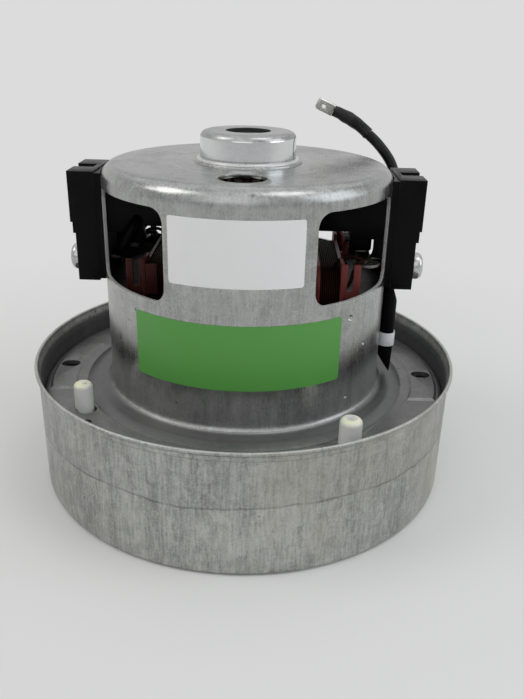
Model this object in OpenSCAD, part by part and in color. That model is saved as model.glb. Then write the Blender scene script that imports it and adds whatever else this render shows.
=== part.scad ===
// Vacuum cleaner motor unit: fan case, motor can, brush gear, field, rotor and impeller.
// Millimetres. +Z runs up the shaft, the brushes lie along X and the front faces -Y.
// The origin is under the middle of the fan case, on the face that it stands on.

/* [Fan case] */
// Outer diameter of the fan case wall
case_d = 128; // [124:1:140]
// Height of the fan case
case_h = 38; // [36:0.5:46]
// Sheet thickness of the fan case
case_t = 1; // [0.8:0.1:1.4]
// How far the rim flares out past the wall
rim_flare = 1; // [0.5:0.1:1.6]
// Height of the flared band at the rim
rim_h = 2.2; // [2:0.1:6]
// Outer radius of the bend between floor and wall
case_bend = 1.6; // [1.5:0.1:3]
// Diameter of the air inlet
inlet_d = 38; // [32:1:42]
// Height of the turned-in lip of the air inlet
lip_h = 4.5; // [3:0.1:4.8]
// Diameter of the raised floor panel round the inlet
panel_d = 76; // [64:1:96]
// Rise of the floor panel
panel_rise = 1.2; // [0.6:0.1:1.6]

/* [Motor can] */
// Outer diameter of the motor can
can_d = 84; // [83:0.5:88]
// Height of the can over the bracket deck
can_h = 67; // [66:0.5:72]
// Sheet thickness of the can
can_t = 1; // [0.8:0.1:1.2]
// Share of the deck between the can and its edge that the can's foot covers
foot_share = 0.382; // [0.25:0.002:0.4]
// Fillet where the can meets its foot
can_root = 3; // [2:0.5:4]
// Outer radius of the can's shoulder
can_shoulder = 4.5; // [3:0.5:5]
// Outer diameter of the bearing boss
boss_d = 27.5; // [27:0.1:32]
// Height of the bearing boss over the can's top
boss_h = 8.5; // [8.5:0.1:12]
// Outer radius at the boss's top edge
boss_edge = 2; // [1.5:0.1:3]
// Diameter of the hole in the boss
boss_hole_d = 12.8; // [11:0.1:16]
// Radius of the bead round the foot of the boss
bead = 1.9; // [1:0.1:3]
// Height of a window's sill over the bracket deck
sill_h = 36; // [34:0.5:38]
// Drop of a window's upper edge below the can's top
window_drop = 6.3; // [6:0.1:10]
// Width of a window across its chord
window_w = 33; // [26:0.5:33]
// Azimuth of a window's middle, from the front
window_az = 50.9; // [49:0.1:53]
// Corner radius of a window
window_r = 3.6; // [2:0.1:5]
// Diameter of the hole in the can's top
vent_d = 12.6; // [8:0.1:14]
// Distance of that hole from the axis
vent_at = 28; // [24:0.5:29]

/* [End bracket] */
// Height of the bracket's deck over the base
deck_h = 29.3; // [29:0.1:31]
// Sheet thickness of the bracket
deck_t = 1; // [0.8:0.1:1.2]
// Depth of the bracket's skirt
skirt_h = 8; // [4:0.5:10]
// Inner radius of the air openings
opening_in = 15; // [14:0.5:18]
// Outer radius of the air openings
opening_out = 38; // [30:0.5:39]
// Angle of each air opening
opening_angle = 64; // [40:1:74]
// Distance of the raised pads from the deck's edge
pad_margin = 1.8; // [1.7:0.1:4]
// Distance of the raised pads from the edge of the can's foot
pad_gap = 2.7; // [2:0.05:4]
// Length of each raised pad across the brushes
pad_l = 35; // [24:1:40]
// Rise of the pads
pad_rise = 0.6; // [0.3:0.1:1]
// Length of a pad's radial slot
slot_l = 6; // [5:0.5:6.5]
// Width of a pad's radial slot
slot_w = 4.6; // [3:0.1:4.8]

/* [Diffuser] */
// Distance of the locating pegs from the edge of the can's foot
peg_off = 3.2; // [3.2:0.1:5]
// Azimuth of the slim peg
slim_peg_az = -58.5; // [-66:0.5:-50]
// Azimuth of the hollow peg
hollow_peg_az = 35; // [30:0.5:44]
// Diameter of the slim peg
slim_peg_d = 5.4; // [4.5:0.1:5.6]
// Diameter of the hollow peg
hollow_peg_d = 6.2; // [5:0.1:6.3]
// Bore in the hollow peg
peg_bore_d = 3; // [2:0.1:3.4]
// Height of the pegs over the deck
peg_h = 7.7; // [5:0.1:8]
// Number of guide vanes
vane_count = 13; // [9:1:17]
// Thickness of a guide vane
vane_t = 1.6; // [1:0.1:2]
// Height of the return vanes over the plate
return_h = 10.6; // [9.5:0.1:11]
// Thickness of the diffuser plate
plate_t = 1.5; // [1:0.1:2]

/* [Impeller] */
// Gap between the impeller's rim and the fan case wall
impeller_gap = 9.5; // [8:0.1:14]
// Sheet thickness of the impeller
impeller_t = 0.8; // [0.6:0.1:1]
// Number of blades
blade_count = 8; // [6:1:10]
// Blade height at the rim
outlet_h = 5.4; // [4:0.1:6]
// Height of the collar at the impeller's eye
collar_h = 2.6; // [2:0.1:4]
// Width of the impeller nut across its flats
nut_af = 13; // [12:0.5:14]
// Height of the impeller nut
nut_h = 6; // [4:0.1:6.5]

/* [Bearings] */
// Outer diameter of the ball bearings
bearing_od = 22; // [21.5:0.1:22.4]
// Bore of the ball bearings
bearing_id = 8; // [7.6:0.1:8.4]
// Width of the ball bearings
bearing_w = 7; // [6.5:0.1:7]
// Ball diameter
ball_d = 3.96; // [3.6:0.01:4]
// Number of balls
ball_count = 7; // [6:1:7]

/* [Field] */
// Room between the field core and the can's top
head_room = 34.3; // [33.3:0.1:38]
// Foot of the field core over the deck
core_at = 8.7; // [8.5:0.1:10]
// Outer radius of the core's slots
yoke_in = 35.5; // [35.4:0.1:37]
// Width of a pole
pole_w = 26; // [24:0.5:26]
// Outer radius of the pole shoes
shoe_r = 24; // [23.5:0.1:24]
// Bore of the field
field_bore = 41; // [40.8:0.1:42]
// Thickness of a coil along its pole
coil_t = 5.5; // [4:0.1:5.5]
// Width of a coil's side
coil_w = 6.3; // [5:0.1:6.3]
// Wall of the coil bobbins
bobbin_t = 1; // [0.8:0.1:1]
// Height of the bobbin horns over the core
horn_h = 10; // [8:0.5:11]

/* [Rotor] */
// Diameter of the shaft between its bearings
shaft_d = 9.5; // [9:0.1:10]
// Diameter of the armature
armature_d = 40; // [38:0.1:40.2]
// Number of armature slots
slot_count = 12; // [8:1:12]
// Diameter of the commutator
commutator_d = 24; // [22:0.5:25]
// Length of the commutator's brush track
commutator_l = 15; // [13:0.5:15]
// Number of commutator bars
bar_count = 24; // [16:2:28]

/* [Brush gear] */
// Drop of the brush axis below the can's top
brush_drop = 11.8; // [11.6:0.1:13]
// Width of a carbon brush
brush_w = 6.4; // [5:0.1:6.6]
// Height of a carbon brush along the shaft
brush_h = 10.6; // [9:0.1:10.6]
// Length of a carbon brush
brush_l = 22; // [18:0.5:22]
// Sliding gap round a brush
brush_gap = 0.15; // [0.1:0.05:0.25]
// Wall of the brass brush tube
tube_t = 0.6; // [0.4:0.1:0.8]
// How far the tube's outer end stands out of the can
tube_out = 2.5; // [2:0.1:3]
// Wall of the holder's nose round the tube
nose_t = 0.9; // [0.7:0.1:1.1]
// How far a holder's upper block stands out of the can
holder_out = 8.2; // [7.8:0.1:11]
// Width of a brush holder
holder_w = 21; // [18:0.5:21.5]
// Height of a brush holder
holder_h = 31.6; // [31:0.1:33]
// Drop of a holder's lower edge below the brush axis
holder_drop = 22.3; // [22:0.1:22.6]
// Width of the terminal slot
terminal_w = 5; // [4.6:0.1:6]
// Drop of a holder's screw below the brush axis
screw_drop = 18.1; // [16.5:0.1:18.2]
// Thread diameter of a holder's screw
screw_d = 4; // [3:0.5:4.5]
// Head diameter of a holder's screw
screw_head_d = 8; // [7:0.1:8]

/* [Side protector and lead] */
// Width of the thermal protector's sleeve
sleeve_w = 9; // [7:0.5:10]
// Thickness of the thermal protector's sleeve
sleeve_t = 4.4; // [4:0.1:6]
// Diameter of the supply lead
lead_d = 3.3; // [2.8:0.1:3.6]
// Diameter of the shrink sleeve on the lead's end
shrink_d = 4.4; // [4.2:0.1:5]
// Width of the terminal tab
tab_w = 4.8; // [4:0.1:6.3]
// Thickness of the terminal tab
tab_t = 0.8; // [0.5:0.1:1]

/* [Hidden] */
$fn = 96;

// Gap left between seated pieces of one body
seat = 0.05;
// Smallest gap between pieces that turn past each other
run = 0.8;
// Depth by which a cut runs past the faces that it goes through
over = 1;

// Fan case
case_r = case_d / 2;
rim_r = case_r + rim_flare;
rim_z = case_h - rim_h;
inlet_r = inlet_d / 2;
panel_top = panel_rise + case_t;
lip_bend = 0.5;
lip_top = panel_rise + lip_h;

// Motor can and its boss
can_r = can_d / 2;
can_top = deck_h + can_h;
boss_r = boss_d / 2;
boss_top = can_top + boss_h;
window_low = deck_h + sill_h;
window_high = can_top - window_drop;

// Bearings
ball_r = ball_d / 2;
bearing_r = bearing_od / 2;
race_gap = 0.12;
race_off = 1.6;
bearing_proud = 1;
pitch_r = (bearing_od + bearing_id) / 4;
race_in = pitch_r - race_off;
race_out = pitch_r + race_off;
upper_bearing_z = boss_top - can_t - bearing_w;
lower_bearing_z = deck_h + bearing_proud - bearing_w;

// End bracket
deck_r = case_r - case_t - seat;
foot_r = can_r + foot_share * (deck_r - can_r);
deck_low = deck_h - deck_t;
skirt_inner_bend = 0.6;
skirt_bend = deck_t + skirt_inner_bend;
skirt_in = deck_r - deck_t;
cup_r = bearing_r + seat;
pad_out = deck_r - pad_margin;
pad_in = foot_r + pad_gap;

// The four peg places: azimuth, diameter and whether the peg is hollow
peg_at = foot_r + peg_off;
peg_places = [
    [slim_peg_az, slim_peg_d, false], [slim_peg_az + 180, slim_peg_d, false],
    [hollow_peg_az, hollow_peg_d, true], [hollow_peg_az + 180, hollow_peg_d, true]
];

// Draw of a slim peg's hole and the place of the small hole beside it, from the peg
peg_draw = 2.4;
pin_turn = 9.5;
pin_out = 3;
pin_d = 2.6;
nub_d = 1.5;
nub_h = 0.5;

// Diffuser and impeller, from the deck down
diffuser_gap = 0.25;
plate_rim = 4;
back_gap = 1.2;
impeller_r = case_r - case_t - impeller_gap;
diffuser_r = skirt_in - diffuser_gap;
plate_top = deck_low - return_h;
plate_low = plate_top - plate_t;
plate_r = impeller_r + plate_rim;
back_top = plate_low - back_gap;
back_low = back_top - impeller_t;
eye_in = inlet_r + case_t + run;
collar_low = panel_top + run;
eye_z = collar_low + collar_h;
outlet_z = back_low - outlet_h;
blade_lead = 4;
blade_margin = 0.5;
blade_reach = 0.56 * impeller_r;
blade_bend = 0.635 * impeller_r;
guide_gap = 1.5;
guide_extra = 0.4;
guide_top_gap = 0.2;
return_top_gap = 0.1;
return_gap = 5;
vane_lap = 1;
vane_bow = 3;
washer_t = 1.2;
nut_top = back_low - washer_t;
spacer_r = 6;

// Field
core_low = deck_h + core_at;
core_top = can_top - head_room;
core_h = core_top - core_low;
core_r = can_r - can_t - seat;
field_r = field_bore / 2;
pole_gap = 0.3;
wire_gap = pole_gap + 2 * seat;
shoe_gap = 0.4;
flange_over = 0.5;
bobbin_in = pole_w / 2 + pole_gap;
coil_in = bobbin_in + bobbin_t + seat;
coil_out = coil_in + coil_w;
flange_out = coil_out + flange_over;
flange_x = sqrt(pow(shoe_r, 2) - pow(pole_w / 2, 2)) + shoe_gap;
coil_x = flange_x + bobbin_t + seat;
outer_flange_x = coil_x + coil_t + seat;
coil_low = core_low - coil_w - bobbin_t - wire_gap;
coil_top = core_top + coil_w + bobbin_t + wire_gap;
horn_top = core_top + horn_h;
horn_w = 1.9;
horn_pitch = 3.6;
link_t = 0.8;
link_w = 4;
link_tongue = 6.6;
link_gap = 0.3;
lug_gap = 0.4;
eyelet_d = 2.6;

// Rotor
shaft_r = shaft_d / 2;
journal_r = bearing_id / 2;
armature_r = armature_d / 2;
commutator_r = commutator_d / 2;
brush_z = can_top - brush_drop;
commutator_low = brush_z - commutator_l / 2;
commutator_top = brush_z + commutator_l / 2;
riser_h = 3;
bar_core_r = 6;
slot_r = 2.6;
slot_mouth = 2;
slot_inset = 5;
slot_at = armature_r - slot_inset;
insulator_t = 0.8;
winding_inset = 2;
winding_r = armature_r - winding_inset;
winding_h = 5.8;
shaft_tip = 0.8;
shaft_low = nut_top - nut_h - shaft_tip;

// Brush gear, for the brush on the +X side
track_gap = 0.3;
tube_back = 2.5;
nose_back = 8;
root_l = 11.4;
root_drop = 2.1;
brush_in = commutator_r + track_gap;
tube_w = brush_w + 2 * (brush_gap + tube_t);
tube_h = brush_h + 2 * (brush_gap + tube_t);
tube_in = commutator_r + tube_back;
tube_end = can_r + tube_out;
terminal_t = 0.8;
pocket_end = tube_end + terminal_t + 2 * seat;
nose_w = tube_w + 2 * (seat + nose_t);
nose_h = tube_h + 2 * (seat + nose_t);
nose_in = commutator_r + nose_back;
nose_low = brush_z - nose_h / 2;
nose_top = brush_z + nose_h / 2;
root_in = can_r - root_l;
root_low = nose_low - root_drop;
holder_at = brush_z - holder_drop;
holder_top = holder_at + holder_h;
holder_reach = can_r + holder_out;
screw_z = brush_z - screw_drop;
strip_t = 0.7;
block_in = can_r + strip_t;
upper_step_drop = 5.1;
lower_step_drop = 8.3;
upper_step = brush_z - upper_step_drop;
lower_step = brush_z - lower_step_drop;
middle_inset = 0.6;
lower_inset = 1.3;
middle_reach = holder_reach - middle_inset;
lower_reach = holder_reach - lower_inset;
screw_pad = 1.1;
screw_head_h = 3.2;
brush_end = brush_in + brush_l;
spring_l = tube_end - brush_end;
spring_turns = 8;
spring_wire = 0.6;
spring_r = 2.5;

// Thermal protector, standing on the can's side under the right brush holder
sleeve_lift = 2.6;
sleeve_in = can_r + 2 * seat;
sleeve_out = sleeve_in + sleeve_t;
sleeve_top = holder_at - 2 * seat;
sleeve_low = deck_h + pad_rise + sleeve_lift;
band_rise = 9;
band_low = sleeve_low + band_rise;
band_h = 4.2;
band_t = 0.4;

// Supply lead: from the right bobbin, out through the rear window and up past the can
lead_rise = 8;
lead_start = [0, 0, core_top + lead_rise];
lead_shape = [
    [29.5, 17, 0], [31.2, 18, 0], [33, 19, 0], [36, 20.8, 0.8], [39.5, 22.8, 2.8], [42.3, 24.5, 5.6],
    [44.5, 25.8, 9], [46, 26.8, 12.8], [46.7, 27.7, 16.6], [46.5, 28.4, 19.6], [45.6, 29, 22],
    [44.3, 29.5, 24.1], [42.6, 30, 26.2], [40.3, 30.7, 28.6], [37.6, 31.4, 30.9]
];
shrink_shape = [
    [37.6, 31.4, 30.9], [34.9, 32.1, 33.2], [32, 32.6, 35], [29, 32.9, 36.5], [26, 33.2, 37.8]
];
lead_route = [for (p = lead_shape) p + lead_start];
shrink_route = [for (p = shrink_shape) p + lead_start];
tab_l = 6;

// Drawing helpers

// Places its children at an azimuth from the front, at a radius and a height.
module at_azimuth(az, r = 0, z = 0) {
    rotate([0, 0, az - 90]) translate([r, 0, z]) children();
}

// A rectangle of a turned profile, from radius r0 to r1 and height z0 to z1.
module band2d(r0, r1, z0, z1) {
    translate([r0, z0]) square([r1 - r0, z1 - z0]);
}

// A quarter bend of sheet in a turned profile. The bend's centre is at (cr, cz) and
// right and up say on which side of it the sheet lies.
module bend2d(cr, cz, inner, t, right, up) {
    outer = inner + t;
    translate([cr, cz]) intersection() {
        difference() {
            circle(outer);
            if (inner > 0) circle(inner);
        }
        translate([right > 0 ? 0 : -outer, up > 0 ? 0 : -outer]) square(outer);
    }
}

// A ring about the axis.
module ring(r0, r1, z0, z1) {
    rotate_extrude() band2d(r0, r1, z0, z1);
}

// Part of a ring, centred on +X.
module ring_sector(r0, r1, z0, z1, angle) {
    rotate([0, 0, -angle / 2]) rotate_extrude(angle = angle) band2d(r0, r1, z0, z1);
}

// A cylinder along +X.
module bar_x(r, x0, x1) {
    translate([x0, 0, 0]) rotate([0, 90, 0]) cylinder(r = r, h = x1 - x0);
}

// A box given by its corners.
module box(x0, x1, y0, y1, z0, z1) {
    translate([x0, y0, z0]) cube([x1 - x0, y1 - y0, z1 - z0]);
}

// A rectangle with round corners, by its half width and its two heights.
module round_rect(half_w, z0, z1, r) {
    translate([-half_w + r, z0]) square([2 * (half_w - r), z1 - z0]);
    translate([-half_w, z0 + r]) square([2 * half_w, z1 - z0 - 2 * r]);
    for (y = [-half_w + r, half_w - r], z = [z0 + r, z1 - r]) translate([y, z]) circle(r);
}

// Extrudes a drawing of the YZ plane along X.
module slab_x(x0, x1) {
    translate([x0, 0, 0]) rotate([90, 0, 90]) linear_extrude(x1 - x0) children();
}

// One curved vane in plan: an arc of a circle between two radii, drawn above the X axis.
module vane2d(r_in, r_out, reach, bend, t) {
    intersection() {
        difference() {
            circle(r_out);
            circle(r_in);
        }
        translate([reach, 0]) difference() {
            circle(bend + t / 2);
            circle(bend - t / 2);
        }
        translate([-r_out, 0]) square([2 * r_out, r_out]);
    }
}

// Swept tubes

function unit(v) = v / norm(v);

// The direction of a path at one of its points.
function heading(path, i) =
    unit(path[min(i + 1, len(path) - 1)] - path[max(i - 1, 0)]);

// A ring of points square to the path, started towards the side vector.
function tube_ring(p, along, side, r, sides) =
    let (u = unit(side - (side * along) * along), v = cross(along, u))
    [for (j = [0:sides - 1]) p + r * (cos(j * 360 / sides) * u + sin(j * 360 / sides) * v)];

function tube_faces(rings, sides) = concat(
    [for (j = [1:sides - 2]) [0, j, j + 1]],
    [for (i = [0:rings - 2], j = [0:sides - 1], half = [0, 1])
        let (a = i * sides + j, b = i * sides + (j + 1) % sides)
        half == 0 ? [a, a + sides, b + sides] : [a, b + sides, b]],
    [for (j = [1:sides - 2]) (rings - 1) * sides * [1, 1, 1] + [0, j + 1, j]]
);

// A round tube along a path; side_of gives each ring's side vector.
module tube(path, side_of, r, sides) {
    rings = [for (i = [0:len(path) - 1])
        tube_ring(path[i], heading(path, i), side_of[i], r, sides)];
    polyhedron(
        points = [for (q = rings, p = q) p],
        faces = tube_faces(len(path), sides),
        convexity = 8
    );
}

// Housing

module fan_case() {
    color("darkgray") rotate_extrude() {
        // Flat base, its bend and the wall
        band2d(panel_d / 2, case_r - case_bend, 0, case_t);
        bend2d(case_r - case_bend, case_bend, case_bend - case_t, case_t, 1, -1);
        band2d(case_r - case_t, case_r, case_bend, rim_z);
        // Flared rim
        polygon([
            [case_r - case_t, rim_z], [case_r, rim_z],
            [rim_r, rim_z + rim_flare], [rim_r - case_t, rim_z + rim_flare]
        ]);
        band2d(rim_r - case_t, rim_r, rim_z + rim_flare, case_h);
        // Raised panel and the turned-in lip of the inlet
        polygon([
            [panel_d / 2, 0], [panel_d / 2, case_t],
            [panel_d / 2 - panel_rise, panel_top], [panel_d / 2 - panel_rise, panel_rise]
        ]);
        band2d(inlet_r + case_t + lip_bend, panel_d / 2 - panel_rise, panel_rise, panel_top);
        bend2d(inlet_r + case_t + lip_bend, panel_top + lip_bend, lip_bend, case_t, -1, -1);
        band2d(inlet_r, inlet_r + case_t, panel_top + lip_bend, lip_top);
    }
}

module can_shell() {
    rotate_extrude() {
        // Foot flange, root bend and wall
        band2d(can_r + can_root, foot_r, deck_h, deck_h + can_t);
        bend2d(can_r + can_root, deck_h + can_t + can_root, can_root, can_t, -1, -1);
        band2d(can_r - can_t, can_r, deck_h + can_t + can_root, can_top - can_shoulder);
        // Shoulder and top
        bend2d(can_r - can_shoulder, can_top - can_shoulder, can_shoulder - can_t, can_t, 1, 1);
        band2d(boss_r - can_t, can_r - can_shoulder, can_top - can_t, can_top);
        // Bead and boss
        bend2d(boss_r, can_top, 0, bead, 1, 1);
        band2d(boss_r - can_t, boss_r, can_top - can_t, boss_top - boss_edge);
        bend2d(boss_r - boss_edge, boss_top - boss_edge, boss_edge - can_t, can_t, 1, 1);
        band2d(boss_hole_d / 2, boss_r - boss_edge, boss_top - can_t, boss_top);
    }
}

module motor_can() {
    wall_in = can_r - can_t - can_root - over;
    nose_gap = 0.2;
    color("silver") difference() {
        can_shell();
        // Cooling windows, a mirrored pair at the front and at the back
        for (az = [window_az, -window_az, 180 - window_az, 180 + window_az]) at_azimuth(az)
            slab_x(wall_in - can_r / 2, foot_r)
                round_rect(window_w / 2, window_low, window_high, window_r);
        // Openings for the brush holders' noses and screws
        for (side = [0, 180]) rotate([0, 0, side]) {
            box(wall_in, foot_r, -nose_w / 2 - nose_gap, nose_w / 2 + nose_gap,
                root_low - nose_gap, nose_top + nose_gap);
            translate([0, 0, screw_z]) bar_x(screw_d / 2 + seat, wall_in, foot_r);
        }
        // Hole in the top
        at_azimuth(0, vent_at, can_top - can_t - over) cylinder(d = vent_d, h = can_t + 2 * over);
    }
}

module end_bracket() {
    lip_gap = 0.2;
    slot_mid = (pad_in + pad_out) / 2;
    slot_run = (slot_l - slot_w) / 2;
    color("gray") difference() {
        union() {
            rotate_extrude() {
                // Deck, its bend and the skirt pressed into the fan case
                band2d(cup_r, deck_r - skirt_bend, deck_low, deck_h);
                bend2d(deck_r - skirt_bend, deck_h - skirt_bend, skirt_inner_bend, deck_t, 1, 1);
                band2d(skirt_in, deck_r, deck_h - skirt_h, deck_h - skirt_bend);
                // Cup of the lower bearing, with its lip
                band2d(cup_r, cup_r + deck_t, lower_bearing_z, deck_low);
                band2d(race_out + lip_gap, cup_r + deck_t, lower_bearing_z - deck_t, lower_bearing_z);
            }
            // Raised pads beside the brushes, with straight ends
            for (side = [0, 180]) rotate([0, 0, side]) intersection() {
                ring(pad_in, pad_out, deck_low + deck_t / 2, deck_h + pad_rise);
                box(0, deck_r, -pad_l / 2, pad_l / 2, deck_low, deck_h + pad_rise + over);
            }
        }
        // Air openings between four spokes
        for (quarter = [45:90:315]) rotate([0, 0, quarter])
            ring_sector(opening_in, opening_out, deck_low - over, deck_h + over, opening_angle);
        // Holes for the diffuser's pegs, the slim ones drawn out along the rim
        for (peg = peg_places) for (draw = [0, peg[2] ? 0 : peg_draw])
            at_azimuth(peg[0] + draw, peg_at, deck_low - over)
                cylinder(d = peg[1] + 2 * seat, h = deck_t + 2 * over);
        // Small holes beside the slim pegs
        for (half = [0, 180]) at_azimuth(slim_peg_az + pin_turn + half, peg_at + pin_out, deck_low - over)
            cylinder(d = pin_d, h = deck_t + 2 * over);
        // Radial slots in the middle of the pads
        for (side = [0, 180]) rotate([0, 0, side]) {
            box(slot_mid - slot_run, slot_mid + slot_run, -slot_w / 2, slot_w / 2,
                deck_low - over, deck_h + pad_rise + over);
            for (r = [slot_mid - slot_run, slot_mid + slot_run]) translate([r, 0, deck_low - over])
                cylinder(d = slot_w, h = deck_t + pad_rise + 2 * over);
        }
    }
}

module peg(d, hollow) {
    foot = plate_low + plate_t / 2;
    top = deck_h + peg_h;
    round = d / 4;
    difference() {
        rotate_extrude() {
            band2d(0, d / 2 - round, foot, top);
            band2d(0, d / 2, foot, top - round);
            bend2d(d / 2 - round, top - round, 0, round, 1, 1);
        }
        if (hollow) translate([0, 0, deck_h]) cylinder(d = peg_bore_d, h = peg_h + over);
    }
    // Nub left by the mould on a slim peg's end
    if (!hollow) translate([0, nub_d / 2, top - nub_h]) cylinder(d = nub_d, h = 2 * nub_h);
}

module diffuser() {
    guide_in = impeller_r + guide_gap;
    return_in = opening_in + return_gap;
    vane_reach = diffuser_r / 2;
    vane_bend = vane_reach + vane_bow;
    hub_gap = 1.5;
    color("ivory") {
        ring(spacer_r + hub_gap, plate_r, plate_low, plate_top);
        for (i = [0:vane_count - 1]) rotate([0, 0, i * 360 / vane_count]) {
            // Guide vane beside the impeller's rim, standing up past the plate's edge
            translate([0, 0, outlet_z]) linear_extrude(deck_low - guide_top_gap - outlet_z)
                vane2d(guide_in, diffuser_r, vane_reach, vane_bend, vane_t + guide_extra);
            // Return vane above the plate, running into the guide vane
            translate([0, 0, plate_low + plate_t / 2])
                linear_extrude(return_h + plate_t / 2 - return_top_gap)
                vane2d(return_in, guide_in + vane_lap, vane_reach, vane_bend, vane_t);
        }
        for (p = peg_places) at_azimuth(p[0], peg_at) peg(p[1], p[2]);
    }
}

// Bearings

module bearing_sleeve() {
    color("dimgray")
        ring(bearing_r + seat, boss_r - can_t - seat, upper_bearing_z, boss_top - boss_edge);
}

// Race in the profile of a bearing ring, cut by the ball's groove.
module race2d(r0, r1) {
    difference() {
        band2d(r0, r1, 0, bearing_w);
        translate([pitch_r, bearing_w / 2]) circle(ball_r + race_gap);
    }
}

module bearing_outer(z) {
    shield_t = 0.4;
    shield_in = 0.2;
    shield_gap = 0.4;
    shield_seat = 0.3;
    color("lightsteelblue") translate([0, 0, z]) rotate_extrude() {
        race2d(race_out, bearing_r);
        for (face = [shield_in, bearing_w - shield_in - shield_t])
            band2d(race_in + shield_gap, race_out + shield_seat, face, face + shield_t);
    }
}

module bearing_inner(z) {
    color("lightsteelblue") translate([0, 0, z]) rotate_extrude() race2d(journal_r + seat, race_in);
}

module ball_set(z) {
    cage_w = 0.7;
    cage_h = 1.8;
    color("gainsboro") translate([0, 0, z + bearing_w / 2]) {
        ring(pitch_r - cage_w / 2, pitch_r + cage_w / 2, -cage_h / 2, cage_h / 2);
        for (i = [0:ball_count - 1]) rotate([0, 0, i * 360 / ball_count])
            translate([pitch_r, 0, 0]) sphere(ball_r);
    }
}

module upper_bearing_outer() bearing_outer(upper_bearing_z);
module upper_bearing_inner() bearing_inner(upper_bearing_z);
module upper_ball_set() ball_set(upper_bearing_z);
module lower_bearing_outer() bearing_outer(lower_bearing_z);
module lower_bearing_inner() bearing_inner(lower_bearing_z);
module lower_ball_set() ball_set(lower_bearing_z);

// Field

module field_core() {
    shoe_angle = 104;
    flat_depth = 2.5;
    flat = core_r - flat_depth;
    color("slategray") translate([0, 0, core_low]) linear_extrude(core_h) {
        // Yoke, flat at the front and the back
        difference() {
            circle(core_r);
            circle(yoke_in);
            for (y = [flat, -flat - core_r]) translate([-core_r, y]) square([2 * core_r, core_r]);
        }
        // Poles with their shoes
        difference() {
            intersection() {
                union() {
                    translate([-yoke_in - over, -pole_w / 2]) square([2 * (yoke_in + over), pole_w]);
                    circle(shoe_r);
                }
                union() {
                    translate([-yoke_in - over, -pole_w / 2]) square([2 * (yoke_in + over), pole_w]);
                    for (side = [0, 180]) rotate(side) polygon([
                        [0, 0],
                        [yoke_in, -yoke_in * tan(shoe_angle / 2)],
                        [yoke_in, yoke_in * tan(shoe_angle / 2)]
                    ]);
                }
            }
            circle(field_r);
        }
    }
}

// The bobbin on the +X pole.
module bobbin() {
    low = coil_low - flange_over;
    high = coil_top + flange_over;
    notch = coil_in - 1;
    horn_y = flange_out - 1.6;
    horn_z = core_top + 0.2;
    bridge_h = 2.2;
    flange_r = 6;
    sleeve_r = 2;
    opening_r = 0.6;
    difference() {
        union() {
            // Sleeve on the pole, and the two flanges
            slab_x(flange_x, outer_flange_x + bobbin_t)
                round_rect(coil_in - seat, core_low - bobbin_t - pole_gap,
                    core_top + bobbin_t + pole_gap, sleeve_r);
            slab_x(flange_x, flange_x + bobbin_t) round_rect(flange_out, low, high, flange_r);
            slab_x(outer_flange_x, outer_flange_x + bobbin_t) {
                round_rect(flange_out, low, high, flange_r);
                // Upright corners beside the coil's end
                for (side = [-1, 1]) translate([side * (flange_out + notch) / 2, core_top])
                    translate([-(flange_out - notch) / 2, 0]) square([flange_out - notch, horn_h]);
            }
            // Pairs of upright horns that guide the coil's ends
            for (side = [0, 1]) mirror([0, side, 0]) {
                box(outer_flange_x, outer_flange_x + horn_pitch + horn_w,
                    horn_y, horn_y + bobbin_t, horn_z, horn_z + bridge_h);
                for (x = [0, horn_pitch]) translate([outer_flange_x + x, 0, 0])
                    box(0, horn_w, horn_y, horn_y + bobbin_t, horn_z, horn_top);
            }
        }
        // Opening for the pole
        slab_x(flange_x - over, outer_flange_x + bobbin_t + over)
            round_rect(bobbin_in, core_low - pole_gap, core_top + pole_gap, opening_r);
        // Room for the brush gear between the upright corners
        box(outer_flange_x - over, outer_flange_x + bobbin_t + over, -notch, notch,
            high + 2 * seat, horn_top + over);
    }
}

// The coil on the +X pole.
module coil() {
    outer_r = 7;
    inner_r = 2;
    slab_x(coil_x, coil_x + coil_t) difference() {
        round_rect(coil_out, coil_low, coil_top, outer_r);
        round_rect(coil_in, core_low - bobbin_t - wire_gap, core_top + bobbin_t + wire_gap, inner_r);
    }
}

module right_bobbin() {
    // The lead comes out of a round boss on the outer flange, through a gap in the horns
    along = heading(lead_route, 0);
    gap = lead_d / 2 + 0.4;
    boss_wall = 0.9;
    boss_back = 1.2;
    color("saddlebrown") {
        difference() {
            bobbin();
            translate(lead_route[0]) rotate([0, 0, atan2(along[1], along[0])])
                box(0, horn_pitch + horn_w + 2 * lead_d, -gap, gap, -gap, horn_h);
        }
        translate(lead_route[0]) rotate([0, 0, atan2(along[1], along[0])])
            bar_x(lead_d / 2 + boss_wall, -boss_back, 0);
    }
}

module left_bobbin() color("saddlebrown") mirror([1, 0, 0]) bobbin();
module right_coil() color("peru") coil();
module left_coil() color("peru") mirror([1, 0, 0]) coil();

// Flat links from the coils to the brush gear, one under each holder's nose.
module coil_links() {
    link_x = outer_flange_x + horn_pitch + horn_w + link_gap;
    lug_x = link_x + link_w / 2;
    lug_y = -nose_w / 2 - link_tongue;
    lug_r = can_r - can_t - lug_gap - norm([lug_x, lug_y]);
    color("gold") for (side = [0, 180]) rotate([0, 0, side]) difference() {
        union() {
            // Round lug, its neck and the riser up to the root of the nose
            translate([lug_x, lug_y, coil_top]) cylinder(r = lug_r, h = link_t);
            box(link_x, link_x + link_w, lug_y, 0, coil_top, coil_top + link_t);
            box(link_x, link_x + link_w, -link_t, 0, coil_top, root_low - 2 * seat);
        }
        translate([lug_x, lug_y, coil_top - over]) cylinder(d = eyelet_d, h = link_t + 2 * over);
    }
}

// Brush gear

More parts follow.
